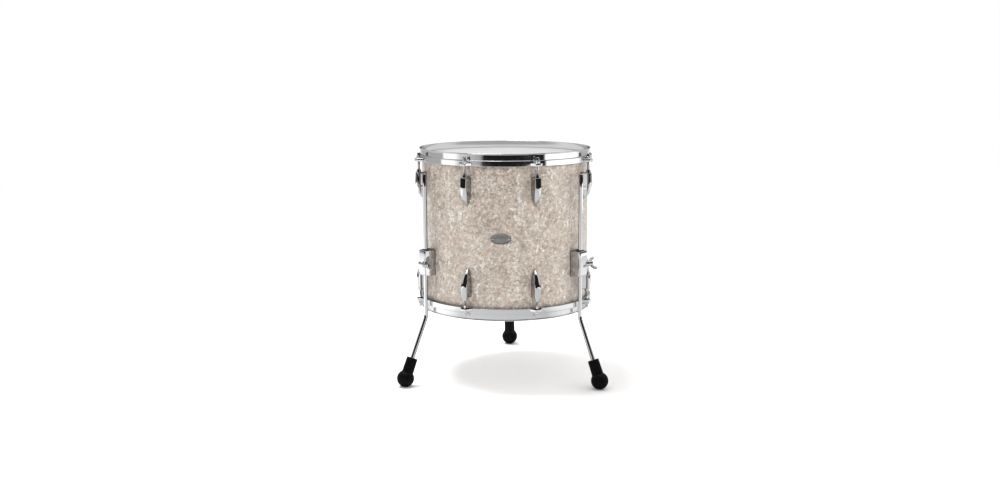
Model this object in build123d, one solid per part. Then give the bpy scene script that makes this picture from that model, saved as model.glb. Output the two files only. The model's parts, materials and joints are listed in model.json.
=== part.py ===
from build123d import *
import math
import os

# Three-legged floor tom drum, 16 x 14 inch, assembled from separate pieces.
# Millimetres, +Z up, floor at z = 0. Everything is drawn about the drum's axis, then moved
# along Y on export so that the origin is the centre of the footprint.
# Angles run from the front (-Y) towards +X. Single parts are drawn at the front.
#
# Ends of names: _R radius or distance from the drum's axis, _RI and _RO inner and outer
# radius, _T thickness, _W width, _H height, _Z height above the floor, and _DROP distance
# down from the top lip of the batter (upper) hoop. Resonant (lower) parts are mirrored.

# ---------------------------------------------------------------- shell and wrap
SHELL_R = 202.0            # outside of the plies
SHELL_T = 6.0
SHELL_RI = SHELL_R - SHELL_T
SHELL_BOTTOM_Z = 193.0     # lower bearing edge
SHELL_H = 355.6            # 14 inches
SHELL_TOP_Z = SHELL_BOTTOM_Z + SHELL_H
MID_Z = (SHELL_BOTTOM_Z + SHELL_TOP_Z) / 2
EDGE_R = 199.6             # crest of the bearing edge
EDGE_INNER_H = 4.2
EDGE_OUTER_H = 1.8
WRAP_R = SHELL_R + 0.6
WRAP_BACK = 2.6            # wrap stops short of the bearing edge
INNER_SEAT_R = SHELL_RI - 0.1  # where pin heads and washers sit inside the shell
GASKET_T = 0.8
CASTING_BACK_R = WRAP_R + GASKET_T  # back of the lugs and leg brackets

# ---------------------------------------------------------------- hoops
LIP_UP = 16.8              # lip stands this far past the bearing edge
LIP_Z = SHELL_TOP_Z + LIP_UP
HOOP_RI = 204.1
HOOP_T = 2.3
HOOP_LIP_R = 208.4
HOOP_SKIRT_R = 212.2
HOOP_SKIRT_T = 2.2
HOOP_SHELF_DROP = 16.0
HOOP_END_DROP = 29.3
EAR_TOP_DROP, EAR_END_DROP = 20.8, 28.4
EAR_ROOT_R, EAR_TIP_R = 211.0, 227.4
EAR_TIP_HALF_W, EAR_BASE_HALF_W = 6.6, 16.0
EAR_WALL = 2.2

# ---------------------------------------------------------------- drum heads
FILM_T = 0.25
FILM_RI = 203.3
HEM_R = 207.2              # the film turns out to here, inside the flesh hoop
HEM_DROP = 23.0
HEM_GAP = 0.03
FLESH_RI, FLESH_RO = 204.3, 209.6
FLESH_TOP_DROP, FLESH_END_DROP = 18.34, 27.5

# ---------------------------------------------------------------- tension rods, M6
ROD_CIRCLE_R = 218.6
ROD_R = 3.0
ROD_HOLE_R = 3.6
ROD_HEAD_DROP = 7.7
ROD_FLANGE_DROP = 15.3
ROD_SEAT_DROP = 17.3
ROD_END_DROP = 88.0
ROD_SQUARE_W = 6.2
ROD_FLANGE_R = 5.2
WASHER_R, WASHER_BORE_R = 6.0, 3.2
WASHER_END_DROP = ROD_SEAT_DROP + 1.62
N_LUGS = 8
LUG_ANGLES = [22.5 + 45.0 * k for k in range(N_LUGS)]

# ---------------------------------------------------------------- lugs
LUG_TOP_DROP, LUG_END_DROP = 54.5, 121.4
LUG_NOSE_DROP = 47.5
LUG_ROOT_R = 200.5         # the side view is drawn back to here, then cut to the shell
LUG_FACE_R = 227.8
LUG_HALF_W = 8.5
LUG_WALL = 2.4
LUG_CORE_DROP = LUG_TOP_DROP + LUG_WALL + 0.7
LUG_ARC_DROP, LUG_ARC_R = 79.0, 49.0    # centre and radius of the curved face
LUG_TAPER_DROP = 86.0      # the sides close in from here
LUG_SCREW_DROPS = (79.0, 104.0)
NUT_TOP_DROP, NUT_END_DROP = 58.9, 74.4
NUT_FLANGE_END_DROP = NUT_TOP_DROP + 2
NUT_R, NUT_FLANGE_R, NUT_BORE_R = 4.6, 5.6, 3.06
M4_R, M4_CLEAR_R = 2.0, 2.3
LUG_SCREW_SEAT_R = 194.86

# ---------------------------------------------------------------- leg brackets
LEG_ANGLES = {"left": -57.0, "right": 57.0, "rear": 180.0}
LEG_R = 219.5              # vertical part of the leg
BRACKET_HALF_W = 16.4
BRACKET_BOTTOM_Z, BRACKET_TOP_Z = 268.0, 329.0
BRACKET_FACE_R = 231.0
BRACKET_CUT_Z = (250, 350)     # cutters that pass right through a bracket's height
BRACKET_SCREW_Z = (280.5, 316.5)
M6_R, M6_CLEAR_R = 3.0, 3.3
BUSH_RO, BUSH_RI = 7.5, 5.3
BUSH_BORE_R = 7.55

# clamp: lengths are measured along its axis from the leg's axis
CLAMP_Z = 297.0
CLAMP_ANGLE = 58.0         # clamp axis, from radially outwards towards increasing angle
CLAMP_R = 4.0              # M8
CLAMP_BORE_R = 4.06
BOSS_R, BOSS_END = 7.4, 23.0
HUB_R, HUB_END = 6.3, 32.5
WING_TURN = {"left": -28.0, "right": 50.0, "rear": -15.0}  # how far each screw is turned

# ---------------------------------------------------------------- legs and feet
LEG_ROD_R = 5.25
LEG_TOP_Z = 511.0
LEG_TILT = 21.5            # lower part, from vertical
LEG_BEND_R = 42.0
FOOT_R = 20.8
FOOT_CENTRE_R, FOOT_CENTRE_Z = 277.4, 20.3
FOOT_NECK_R, FOOT_NECK_L = 13.6, 51.5
FOOT_BALL_TOP = 15.4       # the ball meets the neck this far above its centre
ROD_TO_BALL = 8.0          # the rod stops this far from the ball's centre

# ---------------------------------------------------------------- badge and air vent
BADGE_Z, BADGE_HALF_W, BADGE_HALF_H = 369.0, 24.0, 12.5
BADGE_RIM_W = 2.2
PIN_ANGLE = math.degrees(math.asin(19.0 / 203.0))  # pins 19 mm either side of the centre
PIN_ANGLES = (-PIN_ANGLE, PIN_ANGLE)
VENT_ANGLE = 135.0


# ---------------------------------------------------------------- helpers
def z_at(drop):
    return LIP_Z - drop


def traced_face(place, start, *steps):
    """Face inside a chain of edges: [end] is a line and [middle, end] is an arc.

    place turns the 2D coordinates into a 3D point.
    """
    edges = []
    for step in steps:
        curve = Line if len(step) == 1 else ThreePointArc
        edges.append(curve(place(*start), *[place(*point) for point in step]))
        start = step[-1]
    return make_face(edges)


def turned(points):
    """Solid of revolution about Z from (r, z) points."""
    return revolve(make_face(Polyline([(r, 0, z) for r, z in points], close=True)), axis=Axis.Z)


def around(shape, angle):
    return Rot(0, 0, angle) * shape


def radial_cylinder(radius, inner, outer, z):
    """Cylinder pointing out of the front of the drum."""
    return Pos(0, -(inner + outer) / 2, z) * Rot(90, 0, 0) * Cylinder(radius, outer - inner)


def upright(radius, bottom, top, distance=0.0):
    """Vertical cylinder, its axis at a distance in front of the drum's axis."""
    return Pos(0, -distance, (bottom + top) / 2) * Cylinder(radius, top - bottom)


def on_rod(radius, top_drop, end_drop):
    """Cylinder on the axis of a tension rod."""
    return upright(radius, z_at(end_drop), z_at(top_drop), ROD_CIRCLE_R)


def ring(inner, outer, bottom, top):
    return turned([(inner, bottom), (outer, bottom), (outer, top), (inner, top)])


def block(half_width, inner, outer, bottom, top):
    centre = Pos(0, -(inner + outer) / 2, (bottom + top) / 2)
    return centre * Box(2 * half_width, outer - inner, top - bottom)


def flipped(shape):
    """The same piece at the resonant end."""
    return mirror(shape, about=Plane.XY.offset(MID_Z))


def unwrapped(shape):
    """The bare solid, or a compound where there are several."""
    solids = shape.solids()
    return solids[0] if len(solids) == 1 else Compound(children=list(solids))


def repeated(shapes, angles, both_ends=False):
    """Compound of the shapes at every angle, at both ends of the drum if asked."""
    if both_ends:
        shapes = shapes + [flipped(shape) for shape in shapes]
    solids = []
    for angle in angles:
        for shape in shapes:
            solids.extend(around(shape, angle).solids())
    return Compound(children=solids)


# ---------------------------------------------------------------- shell, badge and vent
def shell_holes():
    def hole(radius, z, angle):
        return around(radial_cylinder(radius, 185, 210, z), angle)

    holes = []
    for angle in LUG_ANGLES:
        for drop in LUG_SCREW_DROPS:
            for z in (z_at(drop), 2 * MID_Z - z_at(drop)):
                holes.append(hole(M4_CLEAR_R, z, angle))
    for angle in LEG_ANGLES.values():
        for z in BRACKET_SCREW_Z:
            holes.append(hole(M6_CLEAR_R, z, angle))
    holes.append(hole(6.0, MID_Z, VENT_ANGLE))
    for angle in PIN_ANGLES:
        holes.append(hole(1.4, BADGE_Z, angle))
    return holes


def make_shell(holes):
    section = [
        (SHELL_RI, SHELL_BOTTOM_Z + EDGE_INNER_H), (EDGE_R, SHELL_BOTTOM_Z),
        (EDGE_R + 0.9, SHELL_BOTTOM_Z + 0.35), (SHELL_R, SHELL_BOTTOM_Z + EDGE_OUTER_H),
        (SHELL_R, SHELL_TOP_Z - EDGE_OUTER_H), (EDGE_R + 0.9, SHELL_TOP_Z - 0.35),
        (EDGE_R, SHELL_TOP_Z), (SHELL_RI, SHELL_TOP_Z - EDGE_INNER_H),
    ]
    return turned(section) - holes


def make_wrap(holes):
    return ring(SHELL_R, WRAP_R, SHELL_BOTTOM_Z + WRAP_BACK, SHELL_TOP_Z - WRAP_BACK) - holes


def make_badge():
    """Oval plate curved to the wrap, with a sunk field inside a raised rim."""
    def oval_layer(inner, outer, inset):
        outline = make_face(Ellipse(BADGE_HALF_W - inset, BADGE_HALF_H - inset).edges())
        prism = Pos(0, -203, BADGE_Z) * Rot(90, 0, 0) * extrude(outline, 12, both=True)
        return ring(WRAP_R + inner, WRAP_R + outer, BADGE_Z - 20, BADGE_Z + 20) & prism

    badge = oval_layer(0.02, 1.3, 0) - oval_layer(0.9, 3, BADGE_RIM_W)
    return badge - [around(radial_cylinder(1.35, 195, 210, BADGE_Z), a) for a in PIN_ANGLES]


def make_badge_pin():
    pin = radial_cylinder(1.3, 194.6, 203.6, BADGE_Z)
    pin = pin + radial_cylinder(2.1, WRAP_R + 0.93, WRAP_R + 1.6, BADGE_Z)
    return pin + radial_cylinder(2.2, 194.2, INNER_SEAT_R, BADGE_Z)


def make_vent():
    vent = radial_cylinder(5.9, 194.6, 203.6, MID_Z)
    vent = vent + radial_cylinder(9.0, WRAP_R + 0.05, WRAP_R + 1.3, MID_Z)
    vent = vent + radial_cylinder(8.0, 194.4, 195.8, MID_Z)
    return vent - radial_cylinder(4.5, 190, 210, MID_Z)


# ---------------------------------------------------------------- hoops and heads
def ear_face(inset, corner_r):
    base = EAR_BASE_HALF_W - inset
    tip = EAR_TIP_HALF_W - inset * 0.72
    tip_r = EAR_TIP_R - inset
    points = [(-base, -EAR_ROOT_R), (base, -EAR_ROOT_R), (tip, -tip_r), (-tip, -tip_r)]
    face = make_face(Polyline(points, close=True))
    return fillet(face.vertices().sort_by(Axis.Y)[:2], corner_r)


def make_hoop():
    """Folded lip, collar, shelf over the flesh hoop and skirt, with eight hollow ears."""
    section = [             # (r, drop)
        (HOOP_RI, 0.6), (HOOP_RI + 0.6, 0), (HOOP_LIP_R - 0.8, 0), (HOOP_LIP_R, 0.8),
        (HOOP_LIP_R, 1.6), (HOOP_LIP_R - 0.6, 2.3), (HOOP_RI + HOOP_T, 2.9),
        (HOOP_RI + HOOP_T, HOOP_SHELF_DROP), (HOOP_SKIRT_R - 1.0, HOOP_SHELF_DROP),
        (HOOP_SKIRT_R, HOOP_SHELF_DROP + 1.0), (HOOP_SKIRT_R, HOOP_END_DROP),
        (HOOP_SKIRT_R - HOOP_SKIRT_T, HOOP_END_DROP),
        (HOOP_SKIRT_R - HOOP_SKIRT_T, HOOP_SHELF_DROP + HOOP_T),
        (HOOP_RI, HOOP_SHELF_DROP + HOOP_T),
    ]
    hoop = turned([(r, z_at(drop)) for r, drop in section])
    ear_h = EAR_END_DROP - EAR_TOP_DROP
    ear = Pos(0, 0, z_at(EAR_END_DROP)) * extrude(ear_face(0, 4.0), ear_h)
    # the pocket is open below, so its cutter starts 1 mm under the ear
    pocket = extrude(ear_face(EAR_WALL, 2.4), ear_h - EAR_WALL + 1)
    pocket = Pos(0, 0, z_at(EAR_END_DROP) - 1) * pocket
    pocket = pocket - upright(HOOP_SKIRT_R, z_at(40), z_at(0))
    cuts = [around(pocket, angle) for angle in LUG_ANGLES]
    cuts += [around(on_rod(ROD_HOLE_R, 10, 40), angle) for angle in LUG_ANGLES]
    # the ears grow out of the skirt only, so what would reach inside it is trimmed first
    ears = repeated([ear], LUG_ANGLES) - upright(HOOP_SKIRT_R - 1.1, z_at(60), z_at(0))
    return (hoop + ears.solids()) - cuts


def make_film():
    under_z = z_at(LIP_UP - 0.02)     # just above the bearing edge
    hem_z = z_at(HEM_DROP)
    hem_under_z = z_at(HEM_DROP + FILM_T)
    return turned([
        (0, under_z), (FILM_RI - 0.9, under_z), (FILM_RI, under_z - 0.9),
        (FILM_RI, hem_under_z), (HEM_R, hem_under_z), (HEM_R, hem_z),
        (FILM_RI + FILM_T, hem_z), (FILM_RI + FILM_T, under_z - 0.8),
        (FILM_RI - 0.75, under_z + FILM_T), (0, under_z + FILM_T),
    ])


def make_flesh_hoop():
    """Ring with a groove for the film's hem."""
    groove = ring(FLESH_RI - 1, HEM_R + 0.06,
                  z_at(HEM_DROP + FILM_T + HEM_GAP), z_at(HEM_DROP - HEM_GAP))
    return ring(FLESH_RI, FLESH_RO, z_at(FLESH_END_DROP), z_at(FLESH_TOP_DROP)) - groove


# ---------------------------------------------------------------- tension rods and washers
def make_rod():
    square = Box(ROD_SQUARE_W, ROD_SQUARE_W, ROD_FLANGE_DROP - ROD_HEAD_DROP)
    square = Pos(0, -ROD_CIRCLE_R, z_at((ROD_HEAD_DROP + ROD_FLANGE_DROP) / 2)) * square
    square = chamfer(square.edges().group_by(Axis.Z)[-1], 0.9)
    flange = on_rod(ROD_FLANGE_R, ROD_FLANGE_DROP, ROD_SEAT_DROP)
    flange = chamfer(flange.edges().group_by(Axis.Z)[-1], 0.6)
    shank = on_rod(ROD_R, ROD_SEAT_DROP, ROD_END_DROP)
    shank = chamfer(shank.edges().group_by(Axis.Z)[0], 0.7)
    return square + flange + shank


def make_rod_washer(radius, top_drop, end_drop):
    return on_rod(radius, top_drop, end_drop) - on_rod(WASHER_BORE_R, 10, 30)


# ---------------------------------------------------------------- lugs
def lug_side(face_r, top, arc_r):
    """Side view: flat back, upright face, and a tail that curves back to the shell."""
    centre_r = face_r - arc_r
    end = LUG_ARC_DROP + math.sqrt(arc_r ** 2 - (LUG_ROOT_R - centre_r) ** 2)
    turn = math.radians(38)    # a point part of the way round the tail's arc
    middle = (centre_r + arc_r * math.cos(turn), LUG_ARC_DROP + arc_r * math.sin(turn))
    face = traced_face(
        lambda r, drop: (0, -r, z_at(drop)),
        (LUG_ROOT_R, top),
        [(face_r - 3, top)],
        [(face_r - 0.88, top + 0.88), (face_r, top + 3)],
        [(face_r, LUG_ARC_DROP)],
        [middle, (LUG_ROOT_R, end)],
        [(LUG_ROOT_R, top)])
    return extrude(face, 20, both=True)


def lug_front(half_w, top, end):
    """Front view: parallel sides that close to a rounded point at the tail."""
    tip = half_w * 0.26
    bulge_x = half_w * 0.80
    bulge_drop = LUG_TAPER_DROP + (end - LUG_TAPER_DROP) * 0.56
    face = traced_face(
        lambda x, drop: (x, -195, z_at(drop)),
        (-half_w, top),
        [(half_w, top)],
        [(half_w, LUG_TAPER_DROP)],
        [(bulge_x, bulge_drop), (tip, end - tip)],
        [(0, end), (-tip, end - tip)],
        [(-bulge_x, bulge_drop), (-half_w, LUG_TAPER_DROP)],
        [(-half_w, top)])
    return extrude(face, 40, dir=(0, -1, 0))


def lug_plan(half_w, face_r):
    """Plan view: sides drafted inwards, a gently domed face with rounded corners."""
    edge = half_w - 1.2
    face = traced_face(
        lambda x, r: (x, -r, z_at(130)),
        (-half_w, 200),
        [(half_w, 200)],
        [(edge, face_r - 3.6)],
        [(edge - 0.9, face_r - 1.7), (edge - 2.6, face_r - 0.62)],
        [(0, face_r), (-edge + 2.6, face_r - 0.62)],
        [(-edge + 0.9, face_r - 1.7), (-edge, face_r - 3.6)],
        [(-half_w, 200)])
    return extrude(face, 100, dir=(0, 0, 1))


def make_lug():
    """Hollow teardrop: three views intersected, then cored from the back."""
    body = lug_side(LUG_FACE_R, LUG_TOP_DROP, LUG_ARC_R)
    body = body & lug_front(LUG_HALF_W, LUG_TOP_DROP, LUG_END_DROP)
    body = body & lug_plan(LUG_HALF_W, LUG_FACE_R)
    core = lug_side(LUG_FACE_R - LUG_WALL, LUG_CORE_DROP, LUG_ARC_R - LUG_WALL)
    core = core & lug_front(LUG_HALF_W - LUG_WALL, LUG_CORE_DROP, LUG_END_DROP - 4.0)
    nose_end = LUG_TOP_DROP + 0.5
    nose = Cone(6.4, 4.8, nose_end - LUG_NOSE_DROP)
    nose = Pos(0, -ROD_CIRCLE_R, z_at((nose_end + LUG_NOSE_DROP) / 2)) * nose
    # ribs across the hollow take the screws
    ribs = [block(LUG_HALF_W, 201, 213.0, z_at(drop) - 3.9, z_at(drop) + 3.9)
            for drop in LUG_SCREW_DROPS]
    lug = (body - core) + nose + [rib & body for rib in ribs]
    lug = lug - upright(CASTING_BACK_R, z_at(140), z_at(30))
    lug = lug - on_rod(ROD_HOLE_R, 40, LUG_TOP_DROP + LUG_WALL + 1)
    lug = lug - [radial_cylinder(M4_R + 0.03, 195, 211.5, z_at(drop))
                 for drop in LUG_SCREW_DROPS]
    return unwrapped(lug)


def make_lug_gasket():
    outline = lug_front(LUG_HALF_W + 0.2, LUG_TOP_DROP - 0.2, LUG_END_DROP - 1.5)
    gasket = ring(WRAP_R + 0.01, CASTING_BACK_R - 0.01,
                  z_at(LUG_END_DROP + 2), z_at(LUG_TOP_DROP - 2)) & outline
    return gasket - [radial_cylinder(M4_CLEAR_R, 195, 215, z_at(drop))
                     for drop in LUG_SCREW_DROPS]


def make_swivel_nut():
    nut = on_rod(NUT_FLANGE_R, NUT_TOP_DROP, NUT_FLANGE_END_DROP)
    nut = nut + on_rod(NUT_R, NUT_FLANGE_END_DROP, NUT_END_DROP)
    return nut - on_rod(NUT_BORE_R, 40, 90)


def make_nut_retainer():
    return on_rod(5.9, NUT_TOP_DROP + 2.05, 70.5) - on_rod(NUT_R + 0.03, 40, 90)


def make_lug_screw(drop):
    """Slotted screw put in from inside the shell."""
    z = z_at(drop)
    shank = radial_cylinder(M4_R, LUG_SCREW_SEAT_R - 0.5, 211.0, z)
    head = radial_cylinder(3.9, LUG_SCREW_SEAT_R - 2.7, LUG_SCREW_SEAT_R - 0.02, z)
    head = fillet(head.edges().group_by(Axis.Y)[-1], 1.0)
    slot = Pos(0, -(LUG_SCREW_SEAT_R - 2.3), z) * Box(8, 1.1, 1.0)
    return (shank + head) - slot


def make_lug_screw_washer(drop):
    z = z_at(drop)
    washer = radial_cylinder(4.8, LUG_SCREW_SEAT_R, INNER_SEAT_R, z)
    return washer - radial_cylinder(2.15, 190, 200, z)


# ---------------------------------------------------------------- leg brackets
clamp_turn = math.radians(CLAMP_ANGLE)
clamp_dir = Vector(math.sin(clamp_turn), -math.cos(clamp_turn), 0)
clamp_side = Vector(-math.cos(clamp_turn), -math.sin(clamp_turn), 0)
clamp_plane = Plane(origin=(0, -LEG_R, CLAMP_Z), x_dir=clamp_side, z_dir=clamp_dir)


def on_clamp(shape):
    """Place a shape drawn along +Z, measured from the leg's axis, onto the clamp's axis."""
    return clamp_plane.location * shape


def bracket_side():
    """Side view: flat back and a bowed face with rounded corners."""
    face_r, bottom, top = BRACKET_FACE_R, BRACKET_BOTTOM_Z, BRACKET_TOP_Z
    face = traced_face(
        lambda r, z: (0, -r, z),
        (200, bottom),
        [(face_r - 3.4, bottom)],
        [(face_r - 2.3, bottom + 0.5), (face_r - 1.8, bottom + 1.6)],
        [(face_r, (bottom + top) / 2), (face_r - 1.8, top - 1.6)],
        [(face_r - 2.3, top - 0.5), (face_r - 3.4, top)],
        [(200, top)],
        [(200, bottom)])
    return extrude(face, 20, both=True)


def bracket_plan():
    """Plan view: a rectangle with its two outer corners rounded."""
    half_w, face_r = BRACKET_HALF_W, BRACKET_FACE_R + 0.2
    points = [(-half_w, -200), (half_w, -200), (half_w, -face_r), (-half_w, -face_r)]
    face = make_face(Polyline(points, close=True))
    face = fillet(face.vertices().sort_by(Axis.Y)[:2], 3.4)
    height = BRACKET_TOP_Z - BRACKET_BOTTOM_Z + 10
    return Pos(0, 0, BRACKET_BOTTOM_Z - 5) * extrude(face, height)


def make_bracket():
    bracket = bracket_side() & bracket_plan()
    bracket = bracket - upright(CASTING_BACK_R, *BRACKET_CUT_Z)
    boss = on_clamp(upright(BOSS_R, 11.0, BOSS_END))
    boss = chamfer(boss.edges().group_by(Axis((0, 0, 0), clamp_dir))[-1], 0.8)
    bracket = bracket + boss
    bracket = bracket - upright(BUSH_BORE_R, *BRACKET_CUT_Z, LEG_R)
    bracket = bracket - on_clamp(upright(CLAMP_BORE_R, 0, 30))
    bracket = bracket - [radial_cylinder(M6_R + 0.03, 198, 210.4, z) for z in BRACKET_SCREW_Z]
    return unwrapped(bracket)


def make_bracket_gasket():
    outline = block(BRACKET_HALF_W + 0.3, 195, 215, BRACKET_BOTTOM_Z - 0.3, BRACKET_TOP_Z + 0.3)
    gasket = ring(WRAP_R + 0.01, CASTING_BACK_R - 0.01,
                  BRACKET_BOTTOM_Z - 5, BRACKET_TOP_Z + 5) & outline
    return gasket - [radial_cylinder(M6_CLEAR_R, 195, 215, z) for z in BRACKET_SCREW_Z]


def make_backing_plate():
    """Curved plate against the inside of the shell."""
    plate = ring(193.9, SHELL_RI - 0.02, 260, 340) & block(14, 180, 200, 272.5, 324.5)
    return plate - [radial_cylinder(M6_CLEAR_R, 180, 215, z) for z in BRACKET_SCREW_Z]


def make_bracket_screw(z):
    """Hexagon-headed screw put in from inside the shell."""
    hexagon = extrude(RegularPolygon(5.0, 6, major_radius=False), 4.0)
    head = Pos(0, -188.4, z) * Rot(90, 0, 0) * hexagon
    return radial_cylinder(M6_R, 192.3, 210.0, z) + head


def make_bracket_screw_washer(z):
    return radial_cylinder(6.2, 192.42, 193.76, z) - radial_cylinder(3.2, 190, 196, z)


def make_clamp_pad():
    """Sliding pin, hollowed to the bush, with a socket for the wing screw's tip."""
    pad = on_clamp(upright(CLAMP_R, 5.0, 13.5))
    pad = pad - upright(BUSH_RO + 0.04, *BRACKET_CUT_Z, LEG_R)
    return unwrapped(pad - on_clamp(upright(2.45, 10.9, 14.0)))


def wing(sign):
    face = traced_face(
        lambda x, z: (sign * x, 0, z),
        (0, 25.0),
        [(5.0, 25.0)],
        [(12.0, 27.2), (16.2, 32.5)],
        [(17.6, 37.4), (14.6, 40.6)],
        [(11.4, 40.4), (9.6, 37.6)],
        [(6.6, 33.6), (0, 32.0)],
        [(0, 25.0)])
    return extrude(face, 2.1, both=True)


def make_wing_screw():
    """Drawn along +Z with its wings along X."""
    screw = upright(2.4, 10.95, 13.9) + upright(CLAMP_R, 13.54, 24.0)
    hub = upright(HUB_R, BOSS_END + 0.4, HUB_END)
    hub = chamfer(hub.edges().group_by(Axis.Z)[-1], 1.4)
    hub = chamfer(hub.edges().group_by(Axis.Z)[0], 0.6)
    return screw + hub + wing(1) + wing(-1)


def make_bush():
    """Flanged sleeve, slit down the side that faces the drum."""
    flange_z = BRACKET_TOP_Z + 0.05
    bush = upright(BUSH_RO, BRACKET_BOTTOM_Z - 0.6, flange_z, LEG_R)
    bush = bush + upright(9.2, flange_z, BRACKET_TOP_Z + 1.7, LEG_R)
    bush = bush - upright(BUSH_RI, *BRACKET_CUT_Z, LEG_R)
    return unwrapped(bush - block(0.6, LEG_R - 12, LEG_R - 4, *BRACKET_CUT_Z))


# ---------------------------------------------------------------- legs and feet
def make_leg():
    tilt = math.radians(LEG_TILT)
    top = (0, -LEG_R, LEG_TOP_Z)
    bend = (0, -LEG_R, FOOT_CENTRE_Z + (FOOT_CENTRE_R - LEG_R) / math.tan(tilt))
    end = (0, -FOOT_CENTRE_R + ROD_TO_BALL * math.sin(tilt),
           FOOT_CENTRE_Z + ROD_TO_BALL * math.cos(tilt))
    path = FilletPolyline(top, bend, end, radius=LEG_BEND_R)
    leg = sweep(Plane(origin=top, z_dir=(0, 0, -1)) * Circle(LEG_ROD_R), path=path)
    return chamfer(leg.edges().group_by(Axis.Z)[-1], 1.0)


def make_foot():
    """Ball and neck turned about the lower leg, bored for the rod, flat on the floor."""
    ball_top_r = math.sqrt(FOOT_R ** 2 - FOOT_BALL_TOP ** 2)
    neck_r, neck_l = FOOT_NECK_R, FOOT_NECK_L
    face = traced_face(
        lambda r, z: (r, 0, z),
        (0, -FOOT_R),
        [(0, neck_l)],
        [(neck_r - 2.0, neck_l)],
        [(neck_r - 0.75, neck_l - 0.6), (neck_r - 0.2, neck_l - 2.0)],
        [(neck_r + 0.4, FOOT_BALL_TOP + 2.0)],
        [(ball_top_r, FOOT_BALL_TOP)],
        [(FOOT_R, 0), (0, -FOOT_R)])
    foot = revolve(face, axis=Axis.Z)
    foot = foot - upright(LEG_ROD_R + 0.01, ROD_TO_BALL - 0.3, 60)
    foot = Pos(0, -FOOT_CENTRE_R, FOOT_CENTRE_Z) * Rot(-LEG_TILT, 0, 0) * foot
    return foot - Pos(0, -FOOT_CENTRE_R, -25) * Box(100, 100, 50)


# ---------------------------------------------------------------- assembly
pieces = {}
leg_angles = LEG_ANGLES.values()

holes = shell_holes()
pieces["shell"] = make_shell(holes)
pieces["shell_wrap"] = make_wrap(holes)
pieces["badge_plate"] = make_badge()
pieces["badge_pins"] = repeated([make_badge_pin()], PIN_ANGLES)
pieces["air_vent_grommet"] = around(make_vent(), VENT_ANGLE)

lug = make_lug()
rod = make_rod()
rod_washer = make_rod_washer(WASHER_R, ROD_SEAT_DROP + 0.02, WASHER_END_DROP)
nylon_washer = make_rod_washer(WASHER_R - 0.2, WASHER_END_DROP + 0.02, EAR_TOP_DROP - 0.01)
for name, shape in {
    "hoop": make_hoop(),
    "head_film": make_film(),
    "flesh_hoop": make_flesh_hoop(),
    "rod_washers": repeated([rod_washer], LUG_ANGLES),
    "nylon_washers": repeated([nylon_washer], LUG_ANGLES),
    "lugs": repeated([lug], LUG_ANGLES),
}.items():
    pieces[f"batter_{name}"] = shape
    pieces[f"resonant_{name}"] = flipped(shape)
for number, angle in enumerate(LUG_ANGLES, start=1):
    pieces[f"batter_tension_rod_{number}"] = around(rod, angle)
    pieces[f"resonant_tension_rod_{number}"] = around(flipped(rod), angle)

for name, shapes in {
    "lug_gaskets": [make_lug_gasket()],
    "swivel_nuts": [make_swivel_nut()],
    "nut_retainers": [make_nut_retainer()],
    "lug_screws": [make_lug_screw(drop) for drop in LUG_SCREW_DROPS],
    "lug_screw_washers": [make_lug_screw_washer(drop) for drop in LUG_SCREW_DROPS],
}.items():
    pieces[name] = repeated(shapes, LUG_ANGLES, both_ends=True)

for name, shapes in {
    "bracket_gaskets": [make_bracket_gasket()],
    "bracket_backing_plates": [make_backing_plate()],
    "bracket_screws": [make_bracket_screw(z) for z in BRACKET_SCREW_Z],
    "bracket_screw_washers": [make_bracket_screw_washer(z) for z in BRACKET_SCREW_Z],
}.items():
    pieces[name] = repeated(shapes, leg_angles)

wing_screw = make_wing_screw()
for name, shape in {
    "leg_bracket": make_bracket(),
    "leg_bush": make_bush(),
    "clamp_pad": make_clamp_pad(),
    "leg_rod": make_leg(),
    "rubber_foot": make_foot(),
}.items():
    for side, angle in LEG_ANGLES.items():
        pieces[f"{name}_{side}"] = around(shape, angle)
for side, angle in LEG_ANGLES.items():
    screw = on_clamp(Rot(0, 0, WING_TURN[side]) * wing_screw)
    pieces[f"wing_screw_{side}"] = around(screw, angle)

# ---------------------------------------------------------------- origin and export
os.makedirs("parts", exist_ok=True)
boxes = [unwrapped(shape).bounding_box() for shape in pieces.values()]
y_mid = (min(box.min.Y for box in boxes) + max(box.max.Y for box in boxes)) / 2
move = Pos(0, -round(y_mid, 3), 0)
for name, shape in pieces.items():
    solids = [move * solid for solid in shape.solids()]
    piece = solids[0] if len(solids) == 1 else Compound(children=solids)
    export_step(piece, f"parts/{name}.step")
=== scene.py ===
# A three-legged floor tom: wrapped shell, two hoops and heads, eight lug lines, three legs.
# Z is up and the drum's axis is vertical, at x = 0, y = AXIS_Y. The front is -Y, and angles
# round the drum run from the front towards +X. Every visible piece is a smooth mesh on the CAD
# frame. Lengths are millimetres until a mesh is made; studio, camera and shaders use metres.
# A "depth" is measured down from the lip of the batter hoop.
import json
import math

import bmesh
import bpy
from mathutils import Matrix, Vector

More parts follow.
